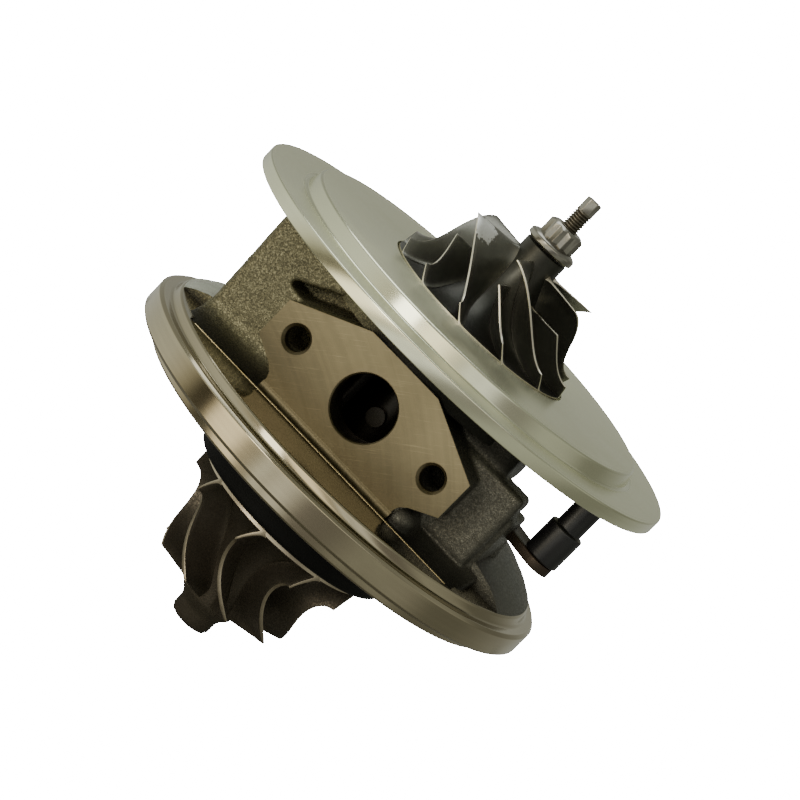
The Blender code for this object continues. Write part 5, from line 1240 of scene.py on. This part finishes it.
def make_camera():
    data = bpy.data.cameras.new("camera")
    data.sensor_width = SENSOR_WIDTH
    data.lens = FOCAL_PIXELS / PICTURE_WIDTH * SENSOR_WIDTH
    data.clip_start = 0.05
    data.clip_end = 200.0
    camera = bpy.data.objects.new("camera", data)
    turn = Matrix((CAMERA_RIGHT, CAMERA_UP, -CAMERA_AHEAD)).transposed()
    camera.matrix_world = Matrix.Translation(CAMERA_PLACE) @ turn.to_4x4()
    bpy.context.scene.collection.objects.link(camera)
    bpy.context.scene.camera = camera


def mixed_shader(tree, factor, first, second):
    return node_of(tree, "ShaderNodeMixShader", {0: factor, 1: first, 2: second}).outputs[0]


def white_for_camera(tree, shader, kind):
    """Show the camera pure white, and light and reflections the given shader."""
    white = node_of(tree, kind, {"Color": (1.0, 1.0, 1.0, 1.0), "Strength": CAMERA_WHITE})
    seen = node_of(tree, "ShaderNodeLightPath").outputs["Is Camera Ray"]
    return mixed_shader(tree, seen, shader, white.outputs[0])


def make_floor(settings):
    """Pale floor, which is clear when it is seen from below."""
    bm = bmesh.new()
    bmesh.ops.create_grid(bm, x_segments=1, y_segments=1, size=settings.floor_size / 2)
    bmesh.ops.translate(bm, vec=(0.0, 0.0, FLOOR_Z), verts=bm.verts)
    material = bpy.data.materials.new("pale_floor")
    material.use_nodes = True
    tree = material.node_tree
    shader = tree.nodes["Principled BSDF"]
    grey = (0.30, 0.30, 0.28, 1.0)
    feed(tree, shader, {"Base Color": grey, "Roughness": 0.9, "Specular IOR Level": 0.0})
    top = white_for_camera(tree, shader.outputs[0], "ShaderNodeEmission")
    clear = node_of(tree, "ShaderNodeBsdfTransparent").outputs[0]
    back = node_of(tree, "ShaderNodeNewGeometry").outputs["Backfacing"]
    feed(tree, tree.nodes["Material Output"], {"Surface": mixed_shader(tree, back, top, clear)})
    object_of("floor", bm, [material])


# Azimuth in degrees and brightness of the room: pale walls, two windows in a dim front
ROOM_END = (0.26, 0.26, 0.22)
DIM_DOOR = (0.11, 0.095, 0.065)
WARM_WINDOW = (3.0, 2.7, 2.1)
WHITE_WINDOW = (1.5, 1.5, 1.4)
ROOM_STOPS = (
    (20.0, ROOM_END),
    (70.0, (0.50, 0.51, 0.45)),
    (99.0, (0.42, 0.43, 0.375)),
    (130.0, (0.80, 0.82, 0.72)),
    (180.0, (1.15, 1.17, 1.05)),
    (194.0, (1.0, 0.97, 0.80)),
    (203.0, (0.60, 0.56, 0.42)),
    (209.0, DIM_DOOR),
    (218.0, DIM_DOOR),
    (225.0, WARM_WINDOW),
    (240.0, WARM_WINDOW),
    (246.0, (0.9, 0.82, 0.66)),
    (253.0, (0.8, 0.75, 0.62)),
    (259.0, (1.8, 1.85, 1.75)),
    (263.0, (0.95, 0.92, 0.82)),
    (267.0, WHITE_WINDOW),
    (273.0, WHITE_WINDOW),
    (283.0, (0.34, 0.32, 0.30)),
    (300.0, (0.32, 0.31, 0.28)),
    (318.0, (0.60, 0.61, 0.53)),
    (345.0, (0.48, 0.48, 0.42)),
)
WINDOW_LEAN = -0.168
WINDOW_SHIFT = 0.033


def room_walls(tree, azimuth):
    ramp = node_of(tree, "ShaderNodeValToRGB", {0: azimuth})
    elements = ramp.color_ramp.elements
    elements[1].position = 1.0
    for end in elements:
        end.color = (*ROOM_END, 1.0)
    for degrees, colour in ROOM_STOPS:
        elements.new(degrees / 360.0).color = (*colour, 1.0)
    return ramp.outputs["Color"]


def make_world():
    """White for the camera; a pale room with two leaning windows for reflections."""
    world = bpy.data.worlds.new("studio")
    bpy.context.scene.world = world
    world.use_nodes = True
    tree = world.node_tree
    tree.nodes.clear()
    x, y, z = separated(tree, node_of(tree, "ShaderNodeTexCoord").outputs["Generated"])
    angle = math_node(tree, "ARCTAN2", y, x)
    lean = math_node(tree, "MULTIPLY_ADD", z, WINDOW_LEAN, 1.0 - WINDOW_SHIFT)
    turns = math_node(tree, "MULTIPLY_ADD", angle, 1.0 / math.tau, lean)
    walls = room_walls(tree, math_node(tree, "FRACT", turns))
    high = mixed(tree, ranged(tree, z, 0.45, 0.95), walls, (0.42, 0.43, 0.38))
    room = mixed(tree, ranged(tree, z, -0.35, -0.85), high, (0.16, 0.15, 0.12))
    soft = node_of(tree, "ShaderNodeBackground", {"Color": room, "Strength": 0.85})
    surface = white_for_camera(tree, soft.outputs[0], "ShaderNodeBackground")
    node_of(tree, "ShaderNodeOutputWorld", {"Surface": surface})


def soft_light(name, direction, distance, width, height, power, colour):
    """Rectangular light that faces the object from a direction."""
    data = bpy.data.lights.new(name, "AREA")
    data.shape = "RECTANGLE"
    data.size = width
    data.size_y = height
    data.energy = power
    data.color = colour
    light = bpy.data.objects.new(name, data)
    away = Vector(direction).normalized()
    light.location = away * distance + Vector((0.0, 0.0, 0.02))
    light.rotation_mode = "QUATERNION"
    light.rotation_quaternion = away.to_track_quat("Z", "Y")
    bpy.context.scene.collection.objects.link(light)


def make_lights(settings):
    key = settings.key_power
    fill = settings.fill_power
    soft_light("key", (-0.36, -0.90, 0.36), 1.3, 0.30, 0.7, key, (1.0, 0.97, 0.90))
    soft_light("top", (-0.35, 0.25, 0.90), 1.2, 0.8, 0.8, fill, (0.95, 0.98, 1.0))


# Operators
class CartridgeOperator:
    bl_options = {"REGISTER", "UNDO"}


class CARTRIDGE_OT_finishes(CartridgeOperator, bpy.types.Operator):
    """Make the shared node groups and every finish"""

    bl_idname = "cartridge.finishes"
    bl_label = "Make finishes"

    def execute(self, context):
        make_groups()
        make_finishes(context.scene)
        return {"FINISHED"}


class CARTRIDGE_OT_housing(CartridgeOperator, bpy.types.Operator):
    """Build the cast bearing housing with its turned flange and milled pads"""

    bl_idname = "cartridge.housing"
    bl_label = "Build bearing housing"

    def execute(self, context):
        make_core()
        make_casting(context.scene.cartridge_housing)
        make_flange()
        make_milled_ledge()
        make_chord_highlight()
        make_pad_face()
        make_inlet_face()
        return {"FINISHED"}


class CARTRIDGE_OT_heat_shield(CartridgeOperator, bpy.types.Operator):
    """Build the pressed heat shield"""

    bl_idname = "cartridge.heat_shield"
    bl_label = "Build heat shield"

    def execute(self, context):
        make_heat_shield()
        return {"FINISHED"}


class CARTRIDGE_OT_back_plate(CartridgeOperator, bpy.types.Operator):
    """Build the turned compressor back plate"""

    bl_idname = "cartridge.back_plate"
    bl_label = "Build back plate"

    def execute(self, context):
        make_back_plate(context.scene.cartridge_plate)
        return {"FINISHED"}


class CARTRIDGE_OT_compressor(CartridgeOperator, bpy.types.Operator):
    """Build the compressor wheel with full and splitter blades"""

    bl_idname = "cartridge.compressor"
    bl_label = "Build compressor wheel"

    def execute(self, context):
        make_compressor_wheel(context.scene.cartridge_compressor)
        return {"FINISHED"}


class CARTRIDGE_OT_turbine(CartridgeOperator, bpy.types.Operator):
    """Build the turbine wheel"""

    bl_idname = "cartridge.turbine"
    bl_label = "Build turbine wheel"

    def execute(self, context):
        make_turbine_wheel(context.scene.cartridge_turbine)
        return {"FINISHED"}


class CARTRIDGE_OT_shaft(CartridgeOperator, bpy.types.Operator):
    """Build the shaft with its thread and drive end, and the nut"""

    bl_idname = "cartridge.shaft"
    bl_label = "Build shaft and nut"

    def execute(self, context):
        make_shaft()
        make_nut()
        return {"FINISHED"}


class CARTRIDGE_OT_lever(CartridgeOperator, bpy.types.Operator):
    """Build the crank lever and its cap"""

    bl_idname = "cartridge.lever"
    bl_label = "Build crank lever"

    def execute(self, context):
        make_lever()
        return {"FINISHED"}


class CARTRIDGE_OT_small_parts(CartridgeOperator, bpy.types.Operator):
    """Give the bearings, seals and fasteners their finishes"""

    bl_idname = "cartridge.small_parts"
    bl_label = "Finish small parts"

    def execute(self, context):
        dress_nodes()
        return {"FINISHED"}


class CARTRIDGE_OT_stage(CartridgeOperator, bpy.types.Operator):
    """Set the floor, soft lights, surroundings and camera"""

    bl_idname = "cartridge.stage"
    bl_label = "Set the stage"

    def execute(self, context):
        settings = context.scene.cartridge_stage
        make_floor(settings)
        make_world()
        make_lights(settings)
        make_camera()
        return {"FINISHED"}


class CARTRIDGE_PT_panel(bpy.types.Panel):
    bl_idname = "CARTRIDGE_PT_panel"
    bl_label = "Turbo cartridge"
    bl_space_type = "VIEW_3D"
    bl_region_type = "UI"
    bl_category = "Cartridge"

    def draw(self, context):
        layout = self.layout
        for operator in OPERATORS:
            layout.operator(operator.bl_idname)
        for owner, group in SETTINGS.items():
            values = getattr(context.scene, owner)
            for label in group.__annotations__:
                layout.prop(values, label)


SETTINGS = {
    "cartridge_housing": HousingSettings,
    "cartridge_plate": PlateSettings,
    "cartridge_compressor": CompressorSettings,
    "cartridge_turbine": TurbineSettings,
    "cartridge_stage": StageSettings,
}
OPERATORS = (
    CARTRIDGE_OT_finishes,
    CARTRIDGE_OT_housing,
    CARTRIDGE_OT_heat_shield,
    CARTRIDGE_OT_back_plate,
    CARTRIDGE_OT_compressor,
    CARTRIDGE_OT_turbine,
    CARTRIDGE_OT_shaft,
    CARTRIDGE_OT_lever,
    CARTRIDGE_OT_small_parts,
    CARTRIDGE_OT_stage,
)


def register():
    for owner, group in SETTINGS.items():
        bpy.utils.register_class(group)
        setattr(bpy.types.Scene, owner, bpy.props.PointerProperty(type=group))
    for operator in OPERATORS:
        bpy.utils.register_class(operator)
    bpy.utils.register_class(CARTRIDGE_PT_panel)


def unregister():
    bpy.utils.unregister_class(CARTRIDGE_PT_panel)
    for operator in reversed(OPERATORS):
        bpy.utils.unregister_class(operator)
    for owner, group in SETTINGS.items():
        delattr(bpy.types.Scene, owner)
        bpy.utils.unregister_class(group)


def main():
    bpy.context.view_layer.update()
    register()
    bpy.ops.cartridge.finishes()
    bpy.ops.cartridge.housing()
    bpy.ops.cartridge.heat_shield()
    bpy.ops.cartridge.back_plate()
    bpy.ops.cartridge.compressor()
    bpy.ops.cartridge.turbine()
    bpy.ops.cartridge.shaft()
    bpy.ops.cartridge.lever()
    bpy.ops.cartridge.small_parts()
    bpy.ops.cartridge.stage()


if __name__ == "__main__":
    main()
